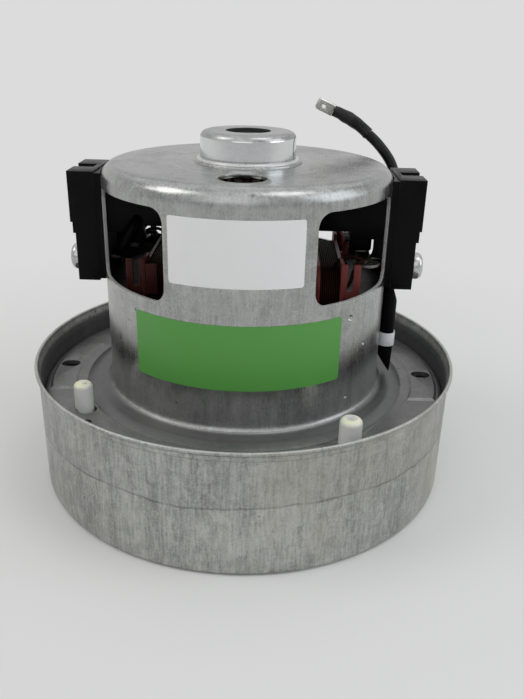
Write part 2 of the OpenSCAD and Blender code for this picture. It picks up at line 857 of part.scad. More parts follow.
// The holder on the +X side: a moulded block on the can, with a nose that reaches inside.
module holder() {
    strip_side = 0.5;
    strip_low = 0.4;
    strip_high = 0.5;
    screw_rim = 1.5;
    difference() {
        union() {
            // Block, in steps from its top down
            box(block_in, holder_reach, -holder_w / 2, holder_w / 2, upper_step, holder_top);
            box(block_in, middle_reach, -holder_w / 2, holder_w / 2, lower_step, upper_step + over);
            box(block_in, lower_reach, -holder_w / 2, holder_w / 2, holder_at, lower_step + over);
            // Seat of the screw's head, cut off level with the block's lower edge
            intersection() {
                translate([0, 0, screw_z])
                    bar_x(screw_head_d / 2 + screw_rim, block_in, lower_reach + screw_pad);
                box(block_in, holder_reach, -holder_w / 2, holder_w / 2, holder_at, holder_top);
            }
            // Base strip on the can, and the nose
            box(can_r / 2, block_in, -holder_w / 2 + strip_side, holder_w / 2 - strip_side,
                holder_at + strip_low, holder_top - strip_high);
            box(nose_in, block_in, -nose_w / 2, nose_w / 2, nose_low, nose_top);
        }
        // Seat on the can, clear of the nose and its deeper root
        difference() {
            translate([0, 0, holder_at - over]) cylinder(r = can_r + seat, h = holder_h + 2 * over);
            box(nose_in - over, can_r + over, -nose_w / 2, nose_w / 2, nose_low, nose_top);
            box(root_in, can_r + over, -nose_w / 2, nose_w / 2, root_low, brush_z);
        }
        // Pocket of the brush tube and its terminal
        box(nose_in - over, pocket_end, -tube_w / 2 - seat, tube_w / 2 + seat,
            brush_z - tube_h / 2 - seat, brush_z + tube_h / 2 + seat);
        // Terminal slot, open at the top and on the outer side
        box(pocket_end - over, holder_reach + over, -terminal_w / 2, terminal_w / 2,
            upper_step, holder_top + over);
        // Screw hole
        translate([0, 0, screw_z]) bar_x(screw_d / 2 + seat, can_r - over, holder_reach + over);
    }
}

module brush_tube() {
    difference() {
        box(tube_in, tube_end, -tube_w / 2, tube_w / 2, brush_z - tube_h / 2, brush_z + tube_h / 2);
        box(tube_in - over, tube_end + over, -tube_w / 2 + tube_t, tube_w / 2 - tube_t,
            brush_z - tube_h / 2 + tube_t, brush_z + tube_h / 2 - tube_t);
    }
}

// End cap of the brush tube, on which the supply terminal bears.
module brush_terminal() {
    box(tube_end, tube_end + terminal_t, -tube_w / 2, tube_w / 2,
        brush_z - tube_h / 2, brush_z + tube_h / 2);
}

module carbon_brush() {
    difference() {
        box(commutator_r / 2, brush_end, -brush_w / 2, brush_w / 2,
            brush_z - brush_h / 2, brush_z + brush_h / 2);
        translate([0, 0, commutator_low - over]) cylinder(r = brush_in, h = commutator_l + 2 * over);
    }
}

// The helix of a brush spring, between the brush and the end cap.
spring_rings = 8 * spring_turns;
spring_path = [for (i = [0:spring_rings])
    let (a = i * 360 / 8, x = brush_end + spring_wire / 2 + 2 * seat
        + (spring_l - spring_wire - 4 * seat) * i / spring_rings)
    [x, spring_r * cos(a), brush_z + spring_r * sin(a)]];
spring_side = [for (p = spring_path) [0, p[1], p[2] - brush_z]];
spring_gap = min([for (i = [0:spring_rings - 8]) norm(spring_path[i + 8] - spring_path[i])]) - spring_wire;
echo(spring_gap = spring_gap);

module brush_spring() tube(spring_path, spring_side, spring_wire / 2, 6);

module right_brush_holder() color("#202022") holder();
module left_brush_holder() color("#202022") mirror([1, 0, 0]) holder();
module right_brush_tube() color("goldenrod") brush_tube();
module left_brush_tube() color("goldenrod") mirror([1, 0, 0]) brush_tube();
module right_brush_terminal() color("goldenrod") brush_terminal();
module left_brush_terminal() color("goldenrod") mirror([1, 0, 0]) brush_terminal();
module right_carbon_brush() color("#303030") carbon_brush();
module left_carbon_brush() color("#303030") mirror([1, 0, 0]) carbon_brush();
module right_brush_spring() color("lightgray") brush_spring();
module left_brush_spring() color("lightgray") mirror([1, 0, 0]) brush_spring();

// Pan-head screws that hold the brush holders on the can.
module brush_holder_screws() {
    head_x = lower_reach + screw_pad;
    round = 1.6;
    recess_w = 1;
    recess_h = 1.8;
    bite = 4;
    color("lightgray") for (side = [0, 180]) rotate([0, 0, side]) translate([0, 0, screw_z]) difference() {
        translate([head_x, 0, 0]) rotate([0, 90, 0]) rotate_extrude() {
            band2d(0, screw_head_d / 2, 0, screw_head_h - round);
            band2d(0, screw_head_d / 2 - round, 0, screw_head_h);
            bend2d(screw_head_d / 2 - round, screw_head_h - round, 0, round, 1, 1);
            band2d(0, screw_d / 2, can_r - bite - head_x, 0);
        }
        // Cross recess
        for (turn = [0, 90]) translate([head_x + screw_head_h, 0, 0]) rotate([turn, 0, 0])
            cube([2 * recess_h, recess_w, screw_head_d / 2], center = true);
    }
}

// Rotor

module shaft() {
    chamfer = 0.6;
    color("lightgray") rotate_extrude() polygon([
        [0, shaft_low], [journal_r - chamfer, shaft_low], [journal_r, shaft_low + chamfer],
        [journal_r, lower_bearing_z + bearing_w], [shaft_r, lower_bearing_z + bearing_w],
        [shaft_r, upper_bearing_z], [journal_r, upper_bearing_z],
        [journal_r, boss_top - can_t - chamfer], [journal_r - chamfer, boss_top - can_t],
        [0, boss_top - can_t]
    ]);
}

// The slots of the armature in plan.
module slots2d(r, mouth) {
    for (i = [0:slot_count - 1]) rotate(i * 360 / slot_count) {
        translate([slot_at, 0]) circle(r);
        translate([slot_at, -mouth / 2]) square([armature_r, mouth]);
    }
}

module armature_core() {
    color("slategray") translate([0, 0, core_low]) linear_extrude(core_h) difference() {
        circle(armature_r);
        circle(shaft_r + seat);
        slots2d(slot_r, slot_mouth);
    }
}

module slot_insulators() {
    rim_inset = 0.5;
    color("saddlebrown") for (z = [core_low - insulator_t, core_top]) translate([0, 0, z])
        linear_extrude(insulator_t) difference() {
            circle(armature_r - rim_inset);
            circle(shaft_r + seat);
            slots2d(slot_r, slot_mouth);
        }
}

module armature_winding() {
    head_in = shaft_r + 1.2;
    round = 2.4;
    slot_gap = 0.15;
    color("peru") {
        // Wires in the slots
        for (i = [0:slot_count - 1]) rotate([0, 0, i * 360 / slot_count])
            translate([slot_at, 0, core_low - over]) cylinder(r = slot_r - slot_gap, h = core_h + 2 * over);
        // Heads of the winding below and above the core
        for (z = [core_low - insulator_t - winding_h, core_top + insulator_t]) rotate_extrude() {
            band2d(head_in, winding_r - round, z, z + winding_h);
            band2d(head_in, winding_r, z + round, z + winding_h - round);
            for (h = [z + round, z + winding_h - round]) translate([winding_r - round, h]) circle(round);
        }
    }
}

module commutator() {
    bar_slot = 0.6;
    slot_depth = 1.6;
    riser_r = commutator_r + 1.5;
    color("chocolate") difference() {
        union() {
            ring(bar_core_r + seat, commutator_r, commutator_low, commutator_top);
            ring(bar_core_r + seat, riser_r, commutator_low - riser_h, commutator_low);
        }
        for (i = [0:bar_count - 1]) rotate([0, 0, i * 360 / bar_count])
            box(commutator_r - slot_depth, riser_r + over, -bar_slot / 2, bar_slot / 2,
                commutator_low - riser_h - over, commutator_top + over);
    }
}

module commutator_core() {
    color("#503018") ring(shaft_r + seat, bar_core_r, commutator_low - riser_h, commutator_top);
}

module shaft_collar() {
    color("lightgray")
        ring(shaft_r + seat, race_in - 2 * seat, commutator_top + 4 * seat, upper_bearing_z);
}

module spacer_bush() {
    color("lightgray") ring(journal_r + seat, race_in - 2 * seat, back_top, lower_bearing_z);
}

// Impeller

// Height of the shroud's inner face at a radius.
function shroud_z(r) = eye_z + (outlet_z - eye_z) * (r - eye_in) / (impeller_r - eye_in);

module impeller_back_plate() {
    color("whitesmoke") ring(journal_r + seat, impeller_r, back_low, back_top);
}

module impeller_shroud() {
    color("whitesmoke") rotate_extrude() polygon([
        [eye_in, collar_low], [eye_in + impeller_t, collar_low],
        [eye_in + impeller_t, eye_z - impeller_t], [impeller_r, outlet_z - impeller_t],
        [impeller_r, outlet_z], [eye_in, eye_z]
    ]);
}

module impeller_blades() {
    blade_in = inlet_r - blade_lead;
    blade_out = impeller_r - blade_margin;
    color("gainsboro") intersection() {
        // Leading edge slanting into the eye, then along the shroud to the rim
        rotate_extrude() polygon([
            [blade_in, back_low - outlet_h / 2], [eye_in, eye_z],
            [blade_out, shroud_z(blade_out)], [blade_out, back_low], [blade_in, back_low]
        ]);
        for (i = [0:blade_count - 1]) rotate([0, 0, i * 360 / blade_count])
            linear_extrude(back_top) vane2d(blade_in, blade_out, blade_reach, blade_bend, impeller_t);
    }
}

module impeller_washer() {
    washer_rim = 4;
    color("lightgray") ring(journal_r + seat, nut_af / 2 + washer_rim, nut_top, back_low);
}

module impeller_nut() {
    chamfer = 0.6;
    color("lightgray") translate([0, 0, nut_top - nut_h]) difference() {
        intersection() {
            cylinder(d = nut_af / cos(30), h = nut_h, $fn = 6);
            cylinder(d1 = nut_af - chamfer, d2 = nut_af + 4 * nut_h, h = nut_h);
        }
        translate([0, 0, -over]) cylinder(r = journal_r + seat, h = nut_h + 2 * over);
    }
}

// Thermal protector

// The flattened sleeve in plan, grown all round by a margin.
module sleeve2d(margin) {
    t = sleeve_t + 2 * margin;
    x = sleeve_in + sleeve_t / 2;
    for (y = [-1, 1]) translate([x, y * (sleeve_w - sleeve_t) / 2]) circle(t / 2);
    translate([x - t / 2, -(sleeve_w - sleeve_t) / 2]) square([t, sleeve_w - sleeve_t]);
}

module thermal_protector() {
    top_cut = 3.5;
    low_cut = 8.8;
    heel = 5.5;
    toe = 0.86 * sleeve_t;
    color("#181818") difference() {
        intersection() {
            translate([0, 0, sleeve_low]) linear_extrude(sleeve_top - sleeve_low) sleeve2d(0);
            // Pinched lower end and cut-back upper corner, seen from the front
            translate([0, sleeve_w, 0]) rotate([90, 0, 0]) linear_extrude(2 * sleeve_w) polygon([
                [sleeve_in, sleeve_top], [sleeve_in + sleeve_t / 2, sleeve_top],
                [sleeve_out, sleeve_top - top_cut], [sleeve_out, sleeve_low + low_cut],
                [sleeve_in + toe, sleeve_low], [sleeve_in, sleeve_low + heel]
            ]);
        }
        cylinder(r = sleeve_in, h = sleeve_top + over);
    }
}

module protector_band() {
    color("whitesmoke") translate([0, 0, band_low]) difference() {
        linear_extrude(band_h) sleeve2d(band_t);
        translate([0, 0, -over]) linear_extrude(band_h + 2 * over) sleeve2d(seat);
        translate([0, 0, -over]) cylinder(r = sleeve_in, h = band_h + 2 * over);
    }
}

// Supply lead

lead_side = [0.3, -0.9, 0.3];

module supply_lead() {
    color("#181818") tube(lead_route, [for (p = lead_route) lead_side], lead_d / 2, 8);
}

module lead_sleeve() {
    color("#181818") tube(shrink_route, [for (p = shrink_route) lead_side], shrink_d / 2, 8);
}

// Flat tab on the lead's end, drawn along +X and then turned to follow the lead.
module lead_tab() {
    last = len(shrink_route) - 1;
    end = shrink_route[last];
    along = heading(shrink_route, last);
    round = 1.2;
    roll = 50;
    hole_d = 1.5;
    hole_at = tab_l / 2 + 0.4;
    color("silver") translate(end) rotate([0, asin(-along[2]), atan2(along[1], along[0])])
        rotate([roll, 0, 0]) difference() {
            union() {
                box(0, tab_l - round, -tab_w / 2, tab_w / 2, -tab_t / 2, tab_t / 2);
                box(0, tab_l, -tab_w / 2 + round, tab_w / 2 - round, -tab_t / 2, tab_t / 2);
                for (y = [-1, 1]) translate([tab_l - round, y * (tab_w / 2 - round), -tab_t / 2])
                    cylinder(r = round, h = tab_t);
            }
            translate([hole_at, 0, -tab_t]) cylinder(d = hole_d, h = 2 * tab_t);
        }
}

fan_case();
motor_can();
end_bracket();
diffuser();
bearing_sleeve();
upper_bearing_outer();
upper_bearing_inner();
upper_ball_set();
lower_bearing_outer();
lower_bearing_inner();
lower_ball_set();
field_core();
right_bobbin();
left_bobbin();
right_coil();
left_coil();
coil_links();
right_brush_holder();
left_brush_holder();
right_brush_tube();
left_brush_tube();
right_brush_terminal();
left_brush_terminal();
right_carbon_brush();
left_carbon_brush();
right_brush_spring();
left_brush_spring();
brush_holder_screws();
shaft();
armature_core();
slot_insulators();
armature_winding();
commutator();
commutator_core();
shaft_collar();
spacer_bush();
impeller_back_plate();
impeller_blades();
impeller_shroud();
impeller_washer();
impeller_nut();
thermal_protector();
protector_band();
supply_lead();
lead_sleeve();
lead_tab();
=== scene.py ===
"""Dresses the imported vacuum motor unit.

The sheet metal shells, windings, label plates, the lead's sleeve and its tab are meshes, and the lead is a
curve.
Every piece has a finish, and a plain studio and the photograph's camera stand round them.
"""

import logging
import math
from collections.abc import Iterable, Sequence
from dataclasses import dataclass
from enum import Enum
from functools import cached_property

import bmesh
import bpy
from mathutils import Matrix, Vector, noise


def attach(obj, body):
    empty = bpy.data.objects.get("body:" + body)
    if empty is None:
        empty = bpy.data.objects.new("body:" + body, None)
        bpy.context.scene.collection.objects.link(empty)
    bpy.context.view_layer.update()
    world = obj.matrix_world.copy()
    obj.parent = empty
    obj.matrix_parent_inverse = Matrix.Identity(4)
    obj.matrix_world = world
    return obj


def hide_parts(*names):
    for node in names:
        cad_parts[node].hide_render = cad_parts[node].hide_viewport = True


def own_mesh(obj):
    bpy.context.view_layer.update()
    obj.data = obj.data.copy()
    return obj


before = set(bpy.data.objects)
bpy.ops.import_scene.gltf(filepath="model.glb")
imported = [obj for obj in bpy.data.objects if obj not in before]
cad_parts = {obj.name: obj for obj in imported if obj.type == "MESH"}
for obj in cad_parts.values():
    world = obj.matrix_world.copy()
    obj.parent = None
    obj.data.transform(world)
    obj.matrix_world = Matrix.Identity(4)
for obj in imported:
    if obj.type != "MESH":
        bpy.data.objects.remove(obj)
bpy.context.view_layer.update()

MM = 0.001
Colour = tuple[float, float, float]
Place = tuple[float, float, float]
Corner = tuple[float, float, float]

log = logging.getLogger("motor_unit")


def scaled(colour: Colour, share: float) -> Colour:
    """A colour with each of its parts times a share."""
    return tuple(share * part for part in colour)


class Body(Enum):
    """The bodies of the frame that dressed pieces ride on."""

    HOUSING = "housing"
    ROTOR = "rotor"
    RIGHT_BRUSH = "right_brush"
    LEFT_BRUSH = "left_brush"


class Side(Enum):
    """The two sides that carry the brush gear, by the sign of X."""

    RIGHT = 1
    LEFT = -1

    @property
    def word(self) -> str:
        """The side's name, as the frame's nodes begin with it."""
        return self.name.lower()

    @property
    def half_turn(self) -> float:
        """Degrees round Z from the right side to this one."""
        return 0.0 if self is Side.RIGHT else 180.0


class Axis(Enum):
    """The axes, by the number of their coordinate."""

    X = 0
    Y = 1
    Z = 2


class Value:
    """One socket of a node tree, with operators that add Math nodes."""

    def __init__(self, nodes: "Nodes", socket: bpy.types.NodeSocket) -> None:
        """Keeps a socket and the nodes that it belongs to."""
        self.nodes = nodes
        self.socket = socket

    def _joined(self, operation: str, first: "Value | float", second: "Value | float") -> "Value":
        """Adds one Math node for an operator."""
        return self.nodes.node("ShaderNodeMath", {"operation": operation}, {0: first, 1: second})

    def __add__(self, other: "Value | float") -> "Value":
        """This value plus another."""
        return self._joined("ADD", self, other)

    def __radd__(self, other: float) -> "Value":
        """A number plus this value."""
        return self._joined("ADD", other, self)

    def __sub__(self, other: "Value | float") -> "Value":
        """This value less another."""
        return self._joined("SUBTRACT", self, other)

    def __rsub__(self, other: float) -> "Value":
        """A number less this value."""
        return self._joined("SUBTRACT", other, self)

    def __mul__(self, other: "Value | float") -> "Value":
        """This value times another."""
        return self._joined("MULTIPLY", self, other)

    def __rmul__(self, other: float) -> "Value":
        """A number times this value."""
        return self._joined("MULTIPLY", other, self)

    def __pow__(self, other: "Value | float") -> "Value":
        """This value to a power."""
        return self._joined("POWER", self, other)


class Nodes:
    """A node tree, built from expressions on its values."""

    def __init__(self, tree: bpy.types.NodeTree) -> None:
        """Keeps the tree."""
        self.tree = tree

    def node(self, kind: str, settings: dict | None = None, inputs: dict | None = None,
             output: int | str = 0) -> Value:
        """Adds a node.

        Args:
            kind: the node's type.
            settings: its own properties.
            inputs: values or links for its sockets, by name or number.
            output: the socket that is handed back.

        Returns:
            The chosen output.
        """
        made = self.tree.nodes.new(kind)
        for key, setting in (settings or {}).items():
            setattr(made, key, setting)
        for key, value in (inputs or {}).items():
            if isinstance(value, Value):
                self.tree.links.new(value.socket, made.inputs[key])
            else:
                made.inputs[key].default_value = value
        return Value(self, made.outputs[output])

    def mix(self, share: Value, first: Value | Colour, second: Value | Colour) -> Value:
        """A colour between two others.

        Args:
            share: how much of the second colour shows.
            first: colour where share is 0.
            second: colour where share is 1.

        Returns:
            The mixed colour.
        """
        whole = [(*colour, 1.0) if isinstance(colour, tuple) else colour for colour in (first, second)]
        return self.node("ShaderNodeMix", {"data_type": "RGBA"}, {0: share, 6: whole[0], 7: whole[1]}, 2)

    def part(self, vector: Value, axis: Axis) -> Value:
        """One number of a vector or a cell's colour."""
        return self.node("ShaderNodeSeparateXYZ", {}, {"Vector": vector}, axis.value)

    def seen(self) -> Value:
        """1 for rays that look, reflect or pass through, and 0 for those that only carry light."""
        camera, glossy, through = (self.node("ShaderNodeLightPath", output=f"Is {kind} Ray")
                                   for kind in ("Camera", "Glossy", "Transmission"))
        return camera + glossy + through


class Paint(Nodes):
    """The nodes of one finish on the object's coordinates."""

    def __init__(self, name: str) -> None:
        """Starts a material with its principled shader.

        Args:
            name: the material's name.
        """
        self.material = bpy.data.materials.new(name)
        self.material.use_nodes = True
        super().__init__(self.material.node_tree)
        self.shader = self.tree.nodes["Principled BSDF"]
        self.place = self.node("ShaderNodeTexCoord", output="Object")

    def stretched(self, stretch: Place, turn: Place = (0.0, 0.0, 0.0)) -> Value:
        """Object coordinates with a scale for each axis and a turn in degrees."""
        return self.node("ShaderNodeMapping", {}, {"Vector": self.place, "Scale": stretch,
                                                   "Rotation": tuple(math.radians(angle) for angle in turn)})

    def noise(self, scale: float, detail: float = 2.0, roughness: float = 0.5,
              stretch: Place = (1.0, 1.0, 1.0), turn: Place = (0.0, 0.0, 0.0)) -> Value:
        """Cloudy noise on the object's coordinates.

        Args:
            scale: features to the metre.
            detail: octaves of finer noise.
            roughness: how strong the finer octaves are.
            stretch: scale of each axis, below 1 where the features are drawn out.
            turn: turn of the axes in degrees.

        Returns:
            A value around 0.5.
        """
        return self.node("ShaderNodeTexNoise", {}, {"Vector": self.stretched(stretch, turn), "Scale": scale,
                                                    "Detail": detail, "Roughness": roughness})

    def cells(self, scale: float, output: str = "Distance") -> Value:
        """Cells of a Voronoi pattern on the object's coordinates."""
        return self.node("ShaderNodeTexVoronoi", {}, {"Vector": self.place, "Scale": scale}, output)

    def spread(self, value: Value, low: float, high: float, start: float = 0.0, stop: float = 1.0) -> Value:
        """Maps a value's range onto another and holds it there.

        Args:
            value: what is mapped.
            low: where the result starts.
            high: where it stops.
            start: result at low.
            stop: result at high.

        Returns:
            The mapped value.
        """
        return self.node("ShaderNodeMapRange", {"interpolation_type": "SMOOTHSTEP"},
                         {"Value": value, "From Min": low, "From Max": high,
                          "To Min": start, "To Max": stop})

    def along(self, axis: Axis) -> Value:
        """The object's own coordinate along an axis, in metres."""
        return self.part(self.place, axis)

    def radius(self, axis: Axis = Axis.Z) -> Value:
        """Distance from an axis through the origin, in metres."""
        first, second = (self.along(other) for other in Axis if other is not axis)
        return (first * first + second * second) ** 0.5

    def lines(self, value: Value, scale: float, detail: float = 2.0) -> Value:
        """Uneven lines that follow one value, such as a radius."""
        return self.node("ShaderNodeTexNoise", {"noise_dimensions": "1D"},
                         {"W": value, "Scale": scale, "Detail": detail})

    def waves(self, value: Value, pitch: float) -> Value:
        """A wave between 0 and 1 with an even pitch in metres."""
        swing = self.node("ShaderNodeMath", {"operation": "SINE"}, {0: value * (math.tau / pitch)})
        return swing * 0.5 + 0.5

    def wear(self) -> Value:
        """1 on the bevelled edges of a piece, from its own attribute, and 0 elsewhere."""
        return self.node("ShaderNodeAttribute", {"attribute_name": "wear"}, output="Fac")

    def upward(self) -> Value:
        """1 on faces that look up, from the piece's own attribute, and 0 on walls."""
        return self.node("ShaderNodeAttribute", {"attribute_name": "upward"}, output="Fac")

    def inward(self) -> Value:
        """1 on faces that look towards the upright axis, from the piece's own attribute, and 0 elsewhere."""
        return self.node("ShaderNodeAttribute", {"attribute_name": "inward"}, output="Fac")

    def even(self, share: Value, colour: Colour) -> None:
        """Shows an even colour in place of the lit surface.

        Args:
            share: how much of it shows.
            colour: the even colour.
        """
        plain = self.node("ShaderNodeEmission", {}, {"Color": (*colour, 1.0), "Strength": 1.0})
        lit = Value(self, self.shader.outputs[0])
        both = self.node("ShaderNodeMixShader", {}, {0: share, 1: lit, 2: plain})
        self.tree.links.new(both.socket, self.tree.nodes["Material Output"].inputs["Surface"])

    def relief(self, height: Value, depth: float, strength: float = 1.0) -> None:
        """Raises the surface by a bump.

        Args:
            height: value between 0 and 1.
            depth: height of the bump in metres.
            strength: share of the bump that shows.
        """
        self.surface({"Normal": self.node("ShaderNodeBump", {}, {"Height": height, "Distance": depth,
                                                                 "Strength": strength})})

    def surface(self, inputs: dict) -> None:
        """Sets or links the principled shader's own sockets."""
        for key, value in inputs.items():
            if isinstance(value, Value):
                self.tree.links.new(value.socket, self.shader.inputs[key])
            else:
                self.shader.inputs[key].default_value = (*value, 1.0) if isinstance(value, tuple) else value


@dataclass(frozen=True)
class Finish:
    """What every finish shares: its name, and the material that it makes once."""

    name: str

    @cached_property
    def material(self) -> bpy.types.Material:
        """The finish's material."""
        paint = Paint(self.name)
        self.apply(paint)
        return paint.material

    def apply(self, paint: Paint) -> None:
        """Builds the finish's nodes, which each kind of finish does for itself."""
        raise NotImplementedError


@dataclass(frozen=True)
class DrawnSheet(Finish):
    """Zinc-coated drawn sheet with upright grain, spangle, stains, pits, scratches and bright edges."""

    bright: Colour = (0.58, 0.585, 0.585)
    dull: Colour = (0.42, 0.425, 0.43)
    stain: Colour = (0.47, 0.44, 0.38)
    stain_low: float = 0.55
    smooth: float = 0.24
    rough: float = 0.40
    streak: float = 0.5
    draw_line: float = 0.0
    # painted shade: the near-black colour of the faces that look inwards, for the shade inside the cup and
    # the can
    inner_shade: Colour = (0.012, 0.011, 0.010)
    shaded: float = 0.0
    worn: float = 0.75
    blotched: float = 0.0
    metal: float = 1.0
    # height above which the inward faces carry no painted shade
    unshaded_above: float = 1.0
    # height below which the faces that look up are made darker, duller and less metallic, at the foot
    darker_below: float = 0.0
    polished_from: float = 1.0

    def apply(self, paint: Paint) -> None:
        """Builds the nodes of the sheet."""
        fine = paint.noise(1700, 3, 0.6, (1, 1, 0.11))
        broad = paint.noise(330, 2, 0.5, (1, 1, 0.12))
        speck = paint.noise(1500, 3, 0.65)
        cloud = paint.noise(46, 5, 0.62)
        crystal = paint.part(paint.cells(420, "Color"), Axis.X)
        rings = (paint.lines(paint.radius() + cloud * 0.004, 620, 4) * 0.55
                 + paint.lines(paint.radius(), 190, 2) * 0.45)
        top = paint.spread(paint.upward(), 0.6, 0.9)
        grain = (fine * 0.62 + broad * 0.38) * (1 - top) + (rings * 0.7 + speck * 0.3) * top
        mottle = speck * 0.5 + cloud * 0.4 + crystal * 0.1
        shade = paint.spread(grain * self.streak + mottle * (1 - self.streak), 0.32, 0.66)
        patch = paint.spread(paint.noise(21, 4, 0.6, (1, 1, 0.7)), self.stain_low, self.stain_low + 0.2)
        pits = paint.spread(paint.cells(210), 0.13, 0.05) * paint.spread(paint.noise(90, 2), 0.58, 0.66)
        scratches = (paint.spread(paint.noise(620, 1, 0.5, (1, 1, 0.04), turn=(0, 0, 30)), 0.69, 0.76)
                     * paint.spread(paint.noise(40, 3), 0.5, 0.62))
        colour = paint.mix(shade, self.dull, self.bright)
        colour = paint.mix(patch * 0.45, colour, self.stain)
        if self.blotched:
            blots = paint.spread(paint.noise(70, 5, 0.7), 0.50, 0.66) * (0.35 + 0.65 * top)
            colour = paint.mix(blots * self.blotched, colour, scaled(self.dull, 0.5))
        dark = pits * 0.6
        if self.draw_line:
            line, above = self._line(paint)
            dark = dark + line * 0.42 + above * 0.08
        colour = paint.mix(dark, colour, scaled(self.dull, 0.3))
        colour = paint.mix(scratches * 0.3, colour, scaled(self.bright, 1.25))
        colour = paint.mix(paint.wear() * self.worn, colour, (0.80, 0.80, 0.79))
        gloss = paint.spread(cloud * 0.45 + speck * 0.2 + grain * 0.35, 0.3, 0.7, self.smooth, self.rough)
        gloss = gloss + patch * 0.06 + pits * 0.2
        metal = self.metal - paint.wear() * 0.7
        # faces that look up, low on the can, turn darker, duller and less metallic
        if self.darker_below:
            low = paint.spread(paint.along(Axis.Z), self.darker_below, self.darker_below - 0.008)
            colour = paint.mix(low * top * 0.8, colour, scaled(self.dull, 0.4))
            gloss, metal = gloss + low * 0.1, metal - low * 0.2
        if self.polished_from < 1:
            drawn = (paint.spread(paint.along(Axis.Z), self.polished_from, self.polished_from + 0.0006)
                     * paint.spread(paint.upward(), 0.35, 0.15))
            colour = paint.mix(drawn * 0.75, colour, (0.84, 0.85, 0.86))
            gloss = gloss * (1 - drawn * 0.5)
        # painted shade on the faces that look towards the axis, below a height near the rim; these faces are
        # also made rougher and not metallic
        if self.shaded:
            inner = (paint.spread(paint.inward(), 0.6, 0.9)
                     * paint.spread(paint.along(Axis.Z), self.unshaded_above + 0.0016, self.unshaded_above))
            colour = paint.mix(inner * self.shaded * (1 - 0.1 * cloud), colour, self.inner_shade)
            gloss, metal = gloss + inner * 0.5, metal - inner
        paint.surface({"Base Color": colour, "Metallic": metal, "Roughness": gloss,
                       "Specular IOR Level": 0.06})
        dents = paint.noise(380, 2)
        height = grain * 0.4 + speck * 0.3 + dents * 0.6 + crystal * 0.1 + cloud * 0.5 - pits
        paint.relief(height, 0.00005, 0.4)

    def _line(self, paint: Paint) -> tuple[Value, Value]:
        """A thin wavy line left round the wall by the drawing tool.

        Args:
            paint: the finish's nodes.

        Returns:
            1 on the line, and 1 on the wall above it.
        """
        sway, ripple = (paint.noise(scale, 2, 0.5, (1, 1, 0.05)) for scale in (11, 160))
        off = paint.along(Axis.Z) - (sway * 0.010 + ripple * 0.0016) - (self.draw_line - 0.006)
        uneven = paint.spread(paint.noise(140, 3), 0.36, 0.6, 0.45, 1.0)
        return paint.spread(off * off, 1.8e-7, 1.0e-8) * uneven, paint.spread(off, -0.0003, 0.0003)


@dataclass(frozen=True)
class Turned(Finish):
    """Turned or rolled metal with fine rings round an axis."""

    tone: Colour = (0.62, 0.62, 0.62)
    tarnish: Colour = (0.30, 0.29, 0.28)
    smooth: float = 0.16
    rough: float = 0.34
    axis: Axis = Axis.Z
    ring_scale: float = 2400.0
    # radius within which the metal is painted near black: painted shade on the ends inside the can
    shaded_within: float = 0.0

    def apply(self, paint: Paint) -> None:
        """Builds the nodes of the metal."""
        rings = paint.lines(paint.radius(self.axis) + paint.along(self.axis), self.ring_scale, 3)
        cloud = paint.noise(120, 4, 0.6)
        spots = paint.spread(paint.noise(420, 3, 0.6), 0.60, 0.72)
        shade = paint.spread(rings * 0.55 + cloud * 0.45, 0.30, 0.62)
        colour = paint.mix(shade * 0.85 + 0.15, self.tarnish, self.tone)
        colour = paint.mix(spots * 0.4, colour, self.tarnish)
        colour = paint.mix(paint.wear() * 0.6, colour, tuple(min(1.0, 1.2 * part) for part in self.tone))
        # painted shade: within the radius the colour goes near black
        if self.shaded_within:
            shaded_end = paint.spread(paint.radius(), self.shaded_within, self.shaded_within - 0.0006)
            colour = paint.mix(shaded_end, colour, (0.012, 0.012, 0.012))
        paint.surface({"Base Color": colour, "Metallic": 1.0,
                       "Roughness": paint.spread(cloud + spots * 0.3, 0.3, 0.8, self.smooth, self.rough)})
        paint.relief(rings, 0.00002, 0.5)


@dataclass(frozen=True)
class Moulded(Finish):
    """Moulded plastic with a fine grain, faint flow marks and some dust."""

    tone: Colour = (0.02, 0.02, 0.021)
    dust: Colour = (0.11, 0.11, 0.11)
    dusty: float = 0.3
    smooth: float = 0.32
    rough: float = 0.5
    grain: float = 3800.0
    sheen_through: float = 0.0
    gloss: float = 0.5
    settled: float = 0.0
    # height below which the faces that look up are painted near black: painted shade under the deck
    shaded_below: float = 0.0

    def apply(self, paint: Paint) -> None:
        """Builds the nodes of the plastic."""
        grain = paint.noise(self.grain, 2, 0.5)
        flow = paint.noise(70, 4, 0.6, (1, 1, 0.35))
        dust = paint.spread(paint.noise(190, 5, 0.7), 0.5, 0.75)
        specks = paint.spread(paint.cells(900), 0.10, 0.04) * paint.spread(paint.noise(130, 2), 0.5, 0.6)
        colour = paint.mix(flow * 0.5, self.tone, scaled(self.tone, 0.72))
        colour = paint.mix(dust * self.dusty + specks * 0.35 * self.dusty, colour, self.dust)
        colour = paint.mix(paint.wear() * 0.35, colour, self.dust)
        if self.settled:
            colour = paint.mix(paint.upward() * (0.5 + dust) * self.settled, colour, self.dust)
        # painted shade: faces that look up, below the height, go near black
        if self.shaded_below:
            low = paint.spread(paint.along(Axis.Z), self.shaded_below + 0.0003, self.shaded_below)
            colour = paint.mix(low * paint.upward(), colour, (0.008, 0.008, 0.008))
        paint.surface({"Base Color": colour, "Subsurface Weight": self.sheen_through,
                       "Specular IOR Level": self.gloss,
                       "Subsurface Radius": Vector((0.0012, 0.0010, 0.0008)), "Subsurface Scale": 1.0,
                       "Roughness": paint.spread(flow * 0.6 + dust * 0.4, 0.25, 0.75,
                                                 self.smooth, self.rough)})
        paint.relief(grain * 0.7 + flow * 0.5, 0.00003, 0.5)


